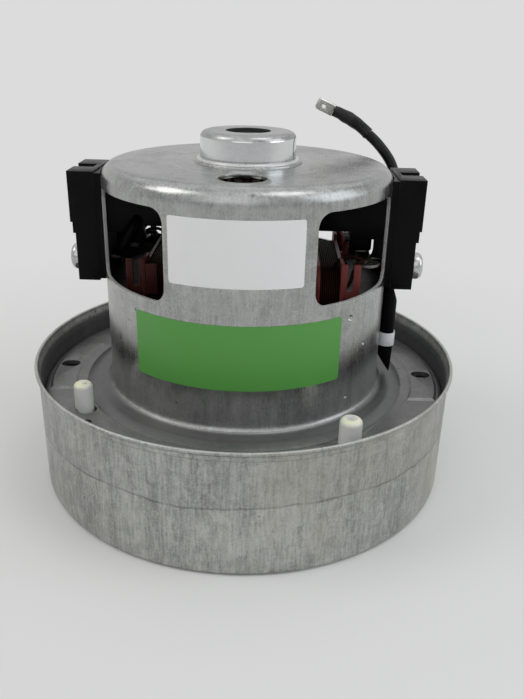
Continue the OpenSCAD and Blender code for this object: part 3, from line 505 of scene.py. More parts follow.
@dataclass(frozen=True)
class WoundWire(Finish):
    """Enamelled copper wire, with a dark lacquer between the turns."""

    tone: Colour = (0.52, 0.17, 0.065)
    lacquer: Colour = (0.10, 0.022, 0.012)
    pitch: float = 0.0006
    axis: Axis = Axis.X
    shaped: bool = False
    metal: float = 0.85
    gloss: float = 0.5

    def apply(self, paint: Paint) -> None:
        """Builds the nodes of the wire."""
        turns = paint.waves(paint.along(self.axis) + paint.noise(60, 2) * self.pitch * 1.5, self.pitch)
        cloud = paint.noise(90, 4, 0.6)
        pool = paint.spread(paint.noise(160, 4, 0.6), 0.48, 0.66)
        colour = paint.mix(paint.spread(turns * 0.6 + cloud * 0.6, 0.25, 0.85), self.lacquer, self.tone)
        colour = paint.mix(pool * 0.6, colour, self.lacquer)
        paint.surface({"Base Color": colour, "Metallic": self.metal * (1 - pool * 0.7),
                       "Specular IOR Level": self.gloss, "Coat Weight": self.gloss * (0.1 + pool * 0.2),
                       "Coat Roughness": 0.15, "Roughness": 0.45 + cloud * 0.2})
        if self.shaped:
            paint.relief(cloud, 0.00004, 0.4)
        else:
            paint.relief(turns + cloud * 0.3, 0.00015, 0.8)


@dataclass(frozen=True)
class StackedSheet(Finish):
    """Punched laminations in a stack, with varnish and a little rust at the edges."""

    tone: Colour = (0.30, 0.30, 0.31)
    varnish: Colour = (0.075, 0.05, 0.04)
    pitch: float = 0.0005

    def apply(self, paint: Paint) -> None:
        """Builds the nodes of the stack."""
        layers = paint.waves(paint.along(Axis.Z), self.pitch)
        steps = paint.lines(paint.along(Axis.Z), 2000, 1)
        coat = paint.spread(paint.noise(110, 4, 0.6), 0.45, 0.7)
        rust = paint.spread(paint.noise(260, 5, 0.65), 0.60, 0.72)
        colour = paint.mix(layers * 0.5 + steps * 0.5, scaled(self.tone, 0.45), self.tone)
        colour = paint.mix(coat * 0.55, colour, self.varnish)
        colour = paint.mix(rust * 0.5, colour, (0.05, 0.02, 0.01))
        paint.surface({"Base Color": colour, "Metallic": 0.4 - rust * 0.3,
                       "Specular IOR Level": 0.15, "Roughness": 0.45 + rust * 0.3 + coat * 0.1})
        paint.relief(layers * 0.7 + steps * 0.5, 0.00008, 0.7)


@dataclass(frozen=True)
class Flexible(Finish):
    """Soft insulation, sleeving, rubber or tape with rubbed, slightly uneven skin."""

    tone: Colour = (0.018, 0.018, 0.019)
    rubbed: Colour = (0.075, 0.075, 0.078)
    smooth: float = 0.36
    rough: float = 0.58
    bump: float = 0.00006
    threads: float = 0.0
    gloss: float = 0.5

    def apply(self, paint: Paint) -> None:
        """Builds the nodes of the skin."""
        skin = paint.noise(900, 3, 0.6)
        folds = paint.noise(210, 3, 0.55)
        rub = paint.spread(paint.noise(120, 4, 0.6), 0.5, 0.72)
        colour = paint.mix(rub * 0.6, self.tone, self.rubbed)
        height = skin * 0.4 + folds * 0.6
        if self.threads:
            across, upright = (paint.waves(paint.along(axis), self.threads) for axis in (Axis.Y, Axis.Z))
            weave = across * upright
            colour = paint.mix(weave * 0.35, colour, scaled(self.tone, 0.7))
            height = height * 0.4 + weave * 0.6
        paint.surface({"Base Color": colour, "Specular IOR Level": self.gloss,
                       "Roughness": paint.spread(folds * 0.5 + rub * 0.5, 0.2, 0.8,
                                                 self.smooth, self.rough)})
        paint.relief(height, self.bump, 0.7)


@dataclass(frozen=True)
class LabelStock(Finish):
    """Bare label film: even print colour with a fine tooth, faint handling marks and a satin face."""

    tone: Colour = (0.80, 0.81, 0.80)
    mark: Colour = (0.62, 0.62, 0.60)

    def apply(self, paint: Paint) -> None:
        """Builds the nodes of the film."""
        tooth = paint.noise(2600, 2)
        cloud = paint.noise(50, 4, 0.6)
        rub = paint.spread(paint.noise(140, 5, 0.7), 0.56, 0.76)
        colour = paint.mix(paint.spread(cloud, 0.35, 0.7) * 0.12 + rub * 0.14, self.tone, self.mark)
        colour = paint.mix(paint.wear() * 0.4, colour, tuple(0.8 * part + 0.12 for part in self.tone))
        paint.surface({"Base Color": colour, "Roughness": 0.36 + rub * 0.16 + cloud * 0.06})
        paint.relief(tooth * 0.5 + cloud * 0.5, 0.00002, 0.5)


# the case and the can carry painted shade on the faces that look inwards
GALVANISED_CASE = DrawnSheet("galvanised_case", (0.60, 0.605, 0.58), (0.22, 0.225, 0.21), stain_low=0.5,
                             rough=0.52, smooth=0.36, draw_line=0.0207, inner_shade=(0.085, 0.085, 0.087),
                             shaded=0.95, blotched=0.3, metal=0.9, unshaded_above=0.0345)
GALVANISED_CAN = DrawnSheet("galvanised_can", (0.50, 0.505, 0.498), (0.28, 0.285, 0.28), stain_low=0.62,
                            rough=0.38, smooth=0.20, streak=0.4, inner_shade=(0.004, 0.004, 0.004), shaded=1.0,
                            blotched=0.38, darker_below=0.046, polished_from=0.0976)
BRACKET_STEEL = DrawnSheet("bracket_steel", (0.28, 0.283, 0.278), (0.19, 0.193, 0.188), stain_low=0.64,
                           rough=0.5, smooth=0.36, streak=0.25, worn=0.2, blotched=0.1, metal=0.8)
# nylon with painted shade on the faces that look up below the deck
WHITE_NYLON = Moulded("white_nylon", (0.95, 0.95, 0.94), (0.90, 0.87, 0.50), 0.06, 0.3, 0.45, 1800, 0.15,
                      settled=0.9, shaded_below=0.0282)
DAMPING_RUBBER = Flexible("damping_rubber", (0.02, 0.02, 0.02), (0.05, 0.05, 0.05), 0.6, 0.8)
BEARING_STEEL = Turned("bearing_steel", (0.66, 0.66, 0.67), smooth=0.10, rough=0.22)
# laminations with a near-black tone and varnish: painted shade, as they sit inside the can
SHADED_LAMINATION_STEEL = StackedSheet("lamination_steel", (0.03, 0.03, 0.031), (0.010, 0.008, 0.007))
BROWN_PHENOLIC = Moulded("brown_phenolic", (0.19, 0.048, 0.043), (0.17, 0.08, 0.06), 0.1, 0.35, 0.5, 2600,
                         gloss=0.1)
# a darker copy of the brown phenolic for the left bobbin and its tongue: painted shade
SHADED_PHENOLIC = Moulded("shaded_phenolic", (0.05, 0.014, 0.012), (0.08, 0.04, 0.03), 0.1, 0.35, 0.5, 2600,
                          gloss=0.08)
# the windings' copper is set near black, with little metal and gloss: painted shade, as they sit inside the
# can
SHADED_ENAMELLED_COPPER = WoundWire("enamelled_copper", (0.03, 0.011, 0.007), (0.007, 0.003, 0.0025), shaped=True,
                             metal=0.05, gloss=0.03)
SHADED_ARMATURE_COPPER = WoundWire("armature_copper", (0.03, 0.012, 0.008), (0.007, 0.004, 0.003), pitch=0.0007,
                            axis=Axis.Z, metal=0.1, gloss=0.04)
COMMUTATOR_COPPER = Turned("commutator_copper", (0.22, 0.10, 0.06), (0.05, 0.025, 0.018), 0.25, 0.45)
BRASS = Turned("brass", (0.70, 0.50, 0.22), (0.26, 0.17, 0.07), 0.2, 0.4, Axis.X)
BLACK_MOULDING = Moulded("black_moulding", (0.0028, 0.0028, 0.003), (0.07, 0.07, 0.068), 0.04, 0.32, 0.5,
                         gloss=0.09, settled=0.35)
INNER_MOULDING = Moulded("inner_moulding", (0.0022, 0.0022, 0.0024), (0.008, 0.008, 0.008), 0.04, 0.4, 0.6,
                         gloss=0.05)
CARBON = Moulded("carbon", (0.03, 0.03, 0.032), (0.10, 0.10, 0.105), 0.5, 0.45, 0.62, 5200)
SPRING_STEEL = Turned("spring_steel", (0.60, 0.60, 0.60), axis=Axis.X)
# screws with painted shade on their ends inside the can
ZINC_SCREW = Turned("zinc_screw", (0.60, 0.60, 0.60), (0.25, 0.25, 0.245), 0.14, 0.3, Axis.X,
                    shaded_within=0.0415)
ZINC_NUT = Turned("zinc_nut", (0.70, 0.70, 0.70), (0.42, 0.42, 0.41), 0.14, 0.3)
SHAFT_STEEL = Turned("shaft_steel", (0.58, 0.58, 0.59), smooth=0.12, rough=0.28)
IMPELLER_ALUMINIUM = Turned("impeller_aluminium", (0.76, 0.77, 0.78), (0.48, 0.48, 0.49), 0.22, 0.4,
                            ring_scale=1500)
PROTECTOR_SLEEVE = Flexible("protector_sleeve", (0.0025, 0.0025, 0.0027), (0.008, 0.008, 0.008), 0.45, 0.65,
                            threads=0.0007, gloss=0.06)
BAND_TAPE = Flexible("band_tape", (0.84, 0.85, 0.87), (0.72, 0.72, 0.73), 0.45, 0.6, threads=0.0006)
LEAD_INSULATION = Flexible("lead_insulation", (0.005, 0.005, 0.0053), (0.025, 0.025, 0.026), 0.3, 0.45,
                           0.00003, gloss=0.25)
SHRINK_SLEEVE = Flexible("shrink_sleeve", (0.006, 0.006, 0.0064), (0.03, 0.03, 0.031), 0.34, 0.5, 0.0001,
                         gloss=0.25)
TINNED_BRASS = Turned("tinned_brass", (0.74, 0.73, 0.70), (0.46, 0.43, 0.38), 0.22, 0.42, ring_scale=200)
# dull tin made darker still: its own dull tone with painted shade, as the links sit inside the can
DULL_SHADED_TIN = Turned("dull_tin", (0.20, 0.195, 0.185), (0.07, 0.066, 0.06), 0.30, 0.5)
WHITE_LABEL = LabelStock("white_label", (0.88, 0.88, 0.885), (0.76, 0.76, 0.76))
GREEN_LABEL = LabelStock("green_label", (0.095, 0.35, 0.063), (0.13, 0.33, 0.09))


def linked(name: str, data: bpy.types.ID) -> bpy.types.Object:
    """Makes an object and puts it in the scene.

    Args:
        name: the object's name.
        data: its mesh, curve, camera or light.

    Returns:
        The object.
    """
    thing = bpy.data.objects.new(name, data)
    bpy.context.scene.collection.objects.link(thing)
    return thing


class Workpiece:
    """A piece being shaped in millimetres, which ends as an object at the origin in metres."""

    def __init__(self) -> None:
        """Starts with an empty mesh and a wear mark for its faces."""
        self.bm = bmesh.new()
        self._mark()

    def _mark(self) -> None:
        """Finds the wear mark of the faces, or makes it."""
        marks = self.bm.faces.layers.float
        self.worn = marks.get("wear") or marks.new("wear")

    def _take(self, thing: bpy.types.Object) -> None:
        """Adds the mesh that an object ends as.

        Args:
            thing: the object, with its modifiers.
        """
        mesh = bpy.data.meshes.new_from_object(thing.evaluated_get(bpy.context.evaluated_depsgraph_get()))
        self.bm.from_mesh(mesh)
        self._mark()
        bpy.data.meshes.remove(mesh)

    def lathe(self, corners: Sequence[Corner], steps: int = 256) -> "Workpiece":
        """Spins a closed outline round Z.

        Args:
            corners: radius, height and corner rounding of the outline, in order.
            steps: sides of the full turn.

        Returns:
            The piece itself.
        """
        ring = [self.bm.verts.new((radius, 0.0, height)) for radius, height in rounded(corners)]
        edges = [self.bm.edges.new((ring[i - 1], ring[i])) for i in range(len(ring))]
        bmesh.ops.spin(self.bm, geom=ring + edges, cent=(0, 0, 0), axis=(0, 0, 1), angle=math.tau,
                       steps=steps, use_merge=True)
        return self.tidy()

    def block(self, low: Place, high: Place) -> "Workpiece":
        """Adds a box between two corners.

        Args:
            low: its lowest corner.
            high: its highest corner.

        Returns:
            The piece itself.
        """
        verts = bmesh.ops.create_cube(self.bm, size=1.0)["verts"]
        first, last = Vector(low), Vector(high)
        bmesh.ops.scale(self.bm, vec=last - first, verts=verts)
        bmesh.ops.translate(self.bm, vec=(first + last) / 2, verts=verts)
        return self

    def turn(self, degrees: float, verts: list[bmesh.types.BMVert] | None = None) -> "Workpiece":
        """Turns vertices round Z.

        Args:
            degrees: how far.
            verts: those that turn, or None for all.

        Returns:
            The piece itself.
        """
        bmesh.ops.rotate(self.bm, verts=verts or self.bm.verts, cent=(0, 0, 0),
                         matrix=Matrix.Rotation(math.radians(degrees), 3, "Z"))
        return self

    def tidy(self, gap: float = 0.0005) -> "Workpiece":
        """Merges doubles and turns the faces outwards."""
        bmesh.ops.remove_doubles(self.bm, verts=self.bm.verts, dist=gap)
        bmesh.ops.recalc_face_normals(self.bm, faces=self.bm.faces)
        return self

    def copied(self, node: str) -> "Workpiece":
        """Takes a node's solid as the start, merged and with its flat faces made whole.

        Args:
            node: the node's name in the frame.

        Returns:
            The piece itself.
        """
        self.bm.from_mesh(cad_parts[node].data)
        self._mark()
        bmesh.ops.scale(self.bm, vec=(1 / MM,) * 3, verts=self.bm.verts)
        bmesh.ops.remove_doubles(self.bm, verts=self.bm.verts, dist=0.001)
        bmesh.ops.dissolve_limit(self.bm, angle_limit=math.radians(0.4), use_dissolve_boundaries=False,
                                 verts=self.bm.verts, edges=self.bm.edges)
        return self

    def soften(self, width: float, sharp: float = 35.0, segments: int = 2,
               among: Iterable[bmesh.types.BMEdge] | None = None) -> "Workpiece":
        """Bevels the sharp edges and marks their faces as worn.

        Args:
            width: width of the bevel.
            sharp: least angle between an edge's faces, in degrees.
            segments: steps of the bevel.
            among: edges to choose from, or None for all.

        Returns:
            The piece itself.
        """
        least = math.radians(sharp)
        edges = [edge for edge in (among or self.bm.edges) if len(edge.link_faces) == 2
                 and edge.calc_face_angle(0.0) > least]
        made = bmesh.ops.bevel(self.bm, geom=edges, offset=width, offset_type="OFFSET", affect="EDGES",
                               segments=segments, profile=0.5, material=-1, clamp_overlap=True)
        for face in made["faces"]:
            face[self.worn] = 1.0
        return self

    def cut(self, tool: "Workpiece") -> "Workpiece":
        """Takes another piece's volume away.

        Args:
            tool: the piece that cuts, which is used up.

        Returns:
            The piece itself.
        """
        blank, cutter = self._loose("blank"), tool._loose("cutter")
        taken = blank.modifiers.new("cut", "BOOLEAN")
        taken.operation, taken.solver, taken.object = "DIFFERENCE", "EXACT", cutter
        self.bm = bmesh.new()
        self._take(blank)
        for thing in (blank, cutter):
            bpy.data.meshes.remove(thing.data)
        bmesh.ops.remove_doubles(self.bm, verts=self.bm.verts, dist=0.01)
        return self

    def _loose(self, name: str) -> bpy.types.Object:
        """A passing object with this mesh, which is used up.

        Args:
            name: the object's name.

        Returns:
            The object, in the scene.
        """
        mesh = bpy.data.meshes.new(name)
        self.bm.to_mesh(mesh)
        self.bm.free()
        return linked(name, mesh)

    def tube(self, route: Sequence[Place], radii: Sequence[float], sides: int = 4,
             steps: int = 6) -> "Workpiece":
        """Adds a round wire along a smooth route.

        Args:
            route: points that it passes through.
            radii: radius at each point.
            sides: fineness of its section.
            steps: steps between two points.

        Returns:
            The piece itself.
        """
        curve = smooth_curve("route", route, max(radii), sides, steps)
        for point, radius in zip(curve.splines[0].bezier_points, radii):
            point.radius = radius / max(radii)
        thing = linked("route", curve)
        self._take(thing)
        bpy.data.objects.remove(thing)
        bpy.data.curves.remove(curve)
        return self.tidy()

    def finish(self, name: str, coat: Finish, body: Body, slot: str, stands_for: Sequence[str] = (),
               sharp: float = 40.0) -> bpy.types.Object:
        """Makes the object, in metres, and sets it on its body.

        Args:
            name: the object's name.
            coat: its finish.
            body: the body that it rides on.
            slot: the record's material slot; not used.
            stands_for: nodes that it replaces.
            sharp: angle above which an edge is shaded sharp, in degrees.

        Returns:
            The dressed object.
        """
        bmesh.ops.scale(self.bm, vec=(MM,) * 3, verts=self.bm.verts)
        upward, inward = (self.bm.faces.layers.float.new(mark) for mark in ("upward", "inward"))
        for face in self.bm.faces:
            face.normal_update()
            face[upward] = max(0.0, face.normal.z)
            face[inward] = max(0.0, -face.normal.xy.dot(face.calc_center_median().xy.normalized()))
        mesh = bpy.data.meshes.new(name)
        self.bm.to_mesh(mesh)
        self.bm.free()
        mesh.polygons.foreach_set("use_smooth", [True] * len(mesh.polygons))
        mesh.set_sharp_from_angle(angle=math.radians(sharp))
        return mount(linked(name, mesh), coat, body, stands_for)


def rounded(corners: Sequence[Corner], steps: int = 6) -> list[tuple[float, float]]:
    """Rounds the corners of a closed outline.

    Args:
        corners: the two places of each corner and its rounding radius.
        steps: steps of each rounding.

    Returns:
        The outline's points.
    """
    points: list[tuple[float, float]] = []
    for i, (x, y, radius) in enumerate(corners):
        corner = Vector((x, y))
        before = (Vector(corners[i - 1][:2]) - corner).normalized()
        after = (Vector(corners[(i + 1) % len(corners)][:2]) - corner).normalized()
        half = before.angle(after) / 2
        if radius <= 0 or half > math.radians(89):
            points.append((x, y))
            continue
        centre = corner + (before + after).normalized() * (radius / math.sin(half))
        first = corner + before * (radius / math.tan(half)) - centre
        last = corner + after * (radius / math.tan(half)) - centre
        turn = first.angle_signed(last)
        for step in range(steps + 1):
            spoke = first.copy()
            spoke.rotate(Matrix.Rotation(-turn * step / steps, 2))
            points.append(tuple(centre + spoke))
    return points


def smooth_curve(name: str, route: Sequence[Place], radius: float, sides: int,
                 steps: int) -> bpy.types.Curve:
    """Makes a round curve of one open spline through a route's points.

    Args:
        name: the curve's name.
        route: its points.
        radius: its radius.
        sides: fineness of its section.
        steps: steps between two points.

    Returns:
        The curve's data.
    """
    curve = bpy.data.curves.new(name, "CURVE")
    curve.dimensions = "3D"
    curve.bevel_depth, curve.bevel_resolution, curve.resolution_u = radius, sides, steps
    curve.use_fill_caps = True
    spline = curve.splines.new("BEZIER")
    spline.bezier_points.add(len(route) - 1)
    for point, place in zip(spline.bezier_points, route):
        point.co = place
        point.handle_left_type = point.handle_right_type = "AUTO"
    return curve


def mount(piece: bpy.types.Object, coat: Finish, body: Body,
          stands_for: Sequence[str] = ()) -> bpy.types.Object:
    """Gives a piece its finish and sets it on its body.

    Args:
        piece: the new object.
        coat: its finish.
        body: the body that it rides on.
        stands_for: nodes that it replaces.

    Returns:
        The piece.
    """
    piece.data.materials.clear()
    piece.data.materials.append(coat.material)
    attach(piece, body.value)
    if stands_for:
        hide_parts(*stands_for)
    log.info("piece %s", piece.name)
    return piece


def softened(node: str, coat: Finish, body: Body, width: float, slot: str | None = None) -> bpy.types.Object:
    """Replaces a node by its own form with rounded edges.

    Args:
        node: the node's name.
        coat: its finish.
        body: the body that it rides on.
        width: width of the edges' bevel in millimetres.
        slot: the record's material slot, or None where the finish has its name.

    Returns:
        The dressed object.
    """
    piece = Workpiece().copied(node).soften(width)
    return piece.finish(f"{node}_dressed", coat, body, slot or coat.name, [node])


def coated(coat: Finish, *nodes: str) -> None:
    """Gives nodes whose own solid shows a finish.

    Args:
        coat: the finish.
        nodes: the nodes' names.
    """
    for node in nodes:
        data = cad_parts[node].data
        data.materials.clear()
        data.materials.append(coat.material)
        log.info("node %s", node)


@dataclass
class Camera:
    """The photograph's viewpoint, fitted to the rim, the foot, the can and the boss; angles in degrees."""

    lens: float = 36.92
    pitch: float = 23.65
    turn: float = 1.34
    roll: float = 0.83
    azimuth: float = 2.6
    distance: float = 0.2310
    aim_height: float = 0.03682

    def build(self) -> None:
        """Makes the camera and puts it in the scene."""
        lens = bpy.data.cameras.new("camera")
        lens.lens, lens.clip_start = self.lens, 0.01
        camera = linked("camera", lens)
        pitch = math.radians(self.pitch)
        round_z = Matrix.Rotation(math.radians(self.azimuth), 4, "Z")
        stand = Matrix.Translation((0.0, -self.distance * math.cos(pitch),
                                    self.aim_height + self.distance * math.sin(pitch)))
        look = (Matrix.Rotation(math.pi / 2 - pitch, 4, "X")
                @ Matrix.Rotation(math.radians(-self.turn), 4, "Y")
                @ Matrix.Rotation(math.radians(self.roll), 4, "Z"))
        camera.matrix_world = round_z @ stand @ look
        bpy.context.scene.camera = camera


@dataclass
class Studio:
    """A plain pale floor, soft lamps and the surroundings that the metal reflects."""

    floor_size: float = 6.0
    floor: Colour = (0.79, 0.792, 0.785)
    backdrop: Colour = (0.71, 0.715, 0.71)
    overhead: Colour = (0.36, 0.365, 0.37)
    behind: Colour = (0.42, 0.425, 0.43)
    overhead_span: tuple[float, float] = (0.25, 0.95)
    behind_span: tuple[float, float] = (0.25, -0.75)
    behind_top: float = 0.75
    fill: float = 0.36
    fill_tint: Colour = (1.0, 1.0, 1.0)

    def build(self) -> None:
        """Makes the floor, the lamps and the world."""
        self._floor()
        self._world()
        self._lamp("overhead", (0.0, 0.2, 1.25), 2.0, 5.5)
        self._lamp("left", (-0.72, -0.15, 0.86), 0.45, 1.7, (1.0, 0.99, 0.95))
        self._lamp("right", (0.36, -0.15, 1.06), 0.4, 1.0)
        self._lamp("side", (0.85, -0.20, 0.55), 0.7, 2.2, (0.88, 0.95, 1.0))
        self._lamp("front", (-0.20, -0.90, 0.72), 0.9, 1.6)

    def _floor(self) -> None:
        """Lays the floor."""
        bm = bmesh.new()
        bmesh.ops.create_circle(bm, cap_ends=True, segments=96, radius=self.floor_size / 2)
        mesh = bpy.data.meshes.new("floor")
        bm.to_mesh(mesh)
        bm.free()
        floor = linked("floor", mesh)
        paint = Paint("floor")
        far = paint.spread(paint.radius(), 0.10, 0.28)
        paint.surface({"Base Color": self.floor, "Roughness": 0.75, "Specular IOR Level": 0.2})
        paint.even(far * paint.seen(), self.backdrop)
        mesh.materials.append(paint.material)

    def _world(self) -> None:
        """Sets what lights the object softly and what it reflects."""
        world = bpy.data.worlds.new("surroundings")
        bpy.context.scene.world = world
        world.use_nodes = True
        nodes = Nodes(world.node_tree)
        place = nodes.node("ShaderNodeTexCoord", output="Generated")
        height, depth, low = (
            nodes.node("ShaderNodeMapRange", {}, {"Value": nodes.part(place, axis), "From Min": first,
                                                  "From Max": last})
            for axis, first, last in ((Axis.Z, *self.overhead_span), (Axis.Y, *self.behind_span),
                                      (Axis.Z, self.behind_top, 0.0)))
        around = nodes.mix(depth * low, nodes.mix(height, self.backdrop, self.overhead), self.behind)
        shown = nodes.node("ShaderNodeBackground", {}, {"Color": around})
        light = nodes.node("ShaderNodeBackground", {}, {"Color": (*self.fill_tint, 1.0),
                                                        "Strength": self.fill})
        both = nodes.node("ShaderNodeMixShader", {}, {0: nodes.seen(), 1: light, 2: shown})
        nodes.tree.links.new(both.socket, nodes.tree.nodes["World Output"].inputs["Surface"])

    def _lamp(self, name: str, place: Place, size: float, power: float,
              tint: Colour = (1.0, 1.0, 1.0)) -> None:
        """Hangs one soft lamp that faces the object.

        Args:
            name: the lamp's name.
            place: where it hangs.
            size: side of its square face.
            power: its watts.
            tint: its colour.
        """
        light = bpy.data.lights.new(name, "AREA")
        light.shape, light.size, light.energy, light.color = "SQUARE", size, power, tint
        lamp = linked(name, light)
        lamp.location = place
        lamp.rotation_euler = (Vector((0.0, 0.0, 0.05)) - Vector(place)).to_track_quat("-Z", "Y").to_euler()


@dataclass
class SupplyLead:
    """The lead from the right bobbin with its sleeve and tab; its route is the source's, in millimetres."""

    diameter: float = 3.3
    sleeve_diameter: float = 4.4
    lump: float = 0.26
    lump_scale: float = 0.42
    lump_middle: float = 0.45
    route: tuple[Place, ...] = (
        (29.5, 17, 70), (31.2, 18, 70), (33, 19, 70), (36, 20.8, 70.8), (39.5, 22.8, 72.8),
        (42.3, 24.5, 75.6), (44.5, 25.8, 79), (46, 26.8, 82.8), (46.7, 27.7, 86.6), (46.5, 28.4, 89.6),
        (45.6, 29, 92), (44.3, 29.5, 94.1), (42.6, 30, 96.2), (40.3, 30.7, 98.6), (37.6, 31.4, 100.9))
    sleeve_route: tuple[Place, ...] = (
        (37.6, 31.4, 100.9), (34.9, 32.1, 103.2), (32, 32.6, 105), (29, 32.9, 106.5), (26, 33.2, 107.8))

    def build(self) -> None:
        metres = [Vector(point) * MM for point in self.route]
        curve = smooth_curve("supply_lead_dressed", metres, self.diameter / 2 * MM, 5, 6)
        lead = linked("supply_lead_dressed", curve)
        mount(lead, LEAD_INSULATION, Body.HOUSING, ["supply_lead"])
        sleeve = self._sleeve()
        tab = softened("lead_tab", TINNED_BRASS, Body.HOUSING, 0.12)

    def _sleeve(self) -> bpy.types.Object:
        """Makes the shrunk sleeve, which bulges over the crimp and draws in towards the lead.

        Returns:
            The sleeve.
        """
        full = self.sleeve_diameter / 2
        radii = [full * share for share in (0.92, 0.9, 1.0, 0.93, 0.8)]
        piece = Workpiece().tube(self.sleeve_route, radii, 7, 8)
        for vert in piece.bm.verts:
            swell = noise.noise(vert.co * self.lump_scale) - self.lump_middle
            vert.co += vert.normal * self.lump * swell
        return piece.finish("lead_sleeve_dressed", SHRINK_SLEEVE, Body.HOUSING, "shrink_sleeve",
                            ["lead_sleeve"])


@dataclass
class FanCase:
    """The drawn cup round the impeller, with its flared rim, raised panel and turned-in inlet."""

    wall_r: float = 64.0
    sheet: float = 1.0
    flare: float = 1.0
    crease_z: float = 35.1
    band: float = 0.3
    roll_z: float = 36.5
    height: float = 38.0
    foot_bend: float = 1.6
    panel_r: float = 38.0
    panel_rise: float = 1.2
    inlet_r: float = 19.0
    inlet_top: float = 5.7

    def build(self) -> None:
        """Spins the cup from its outline."""
        inner, low = self.wall_r - self.sheet, self.panel_rise + self.sheet
        slope, rim_r = self.panel_rise, self.wall_r + self.flare
        outline = (
            (self.inlet_r, self.inlet_top, 0.3), (self.inlet_r, self.panel_rise, 1.5),
            (self.panel_r - slope, self.panel_rise, 0.8), (self.panel_r, 0, 0.8),
            (self.wall_r, 0, self.foot_bend),
            (self.wall_r, self.crease_z - 0.4, 0.2), (self.wall_r - 0.1, self.crease_z - 0.15, 0.1),
            (self.wall_r + self.band * 0.7, self.crease_z + 0.2, 0.2),
            (self.wall_r + self.band, self.roll_z, 0.4), (rim_r, self.roll_z + 0.75, 0.5),
            (rim_r, self.height, 0.5), (inner + self.flare, self.height, 0.45),
            (inner + self.flare, self.height - 0.9, 1.5), (inner, self.height - 4.5, 3.0),
            (inner, self.sheet, self.foot_bend - self.sheet), (self.panel_r, self.sheet, 0.8),
            (self.panel_r - slope, low, 0.8), (self.inlet_r + self.sheet, low, 0.5),
            (self.inlet_r + self.sheet, self.inlet_top, 0.3))
        piece = Workpiece().lathe(outline)
        for face in piece.bm.faces:
            if face.calc_center_median().z > self.height - 0.16:
                face[piece.worn] = 0.3
        piece.finish("fan_case_dressed", GALVANISED_CASE, Body.HOUSING, "galvanised_case", ["fan_case"], 50)


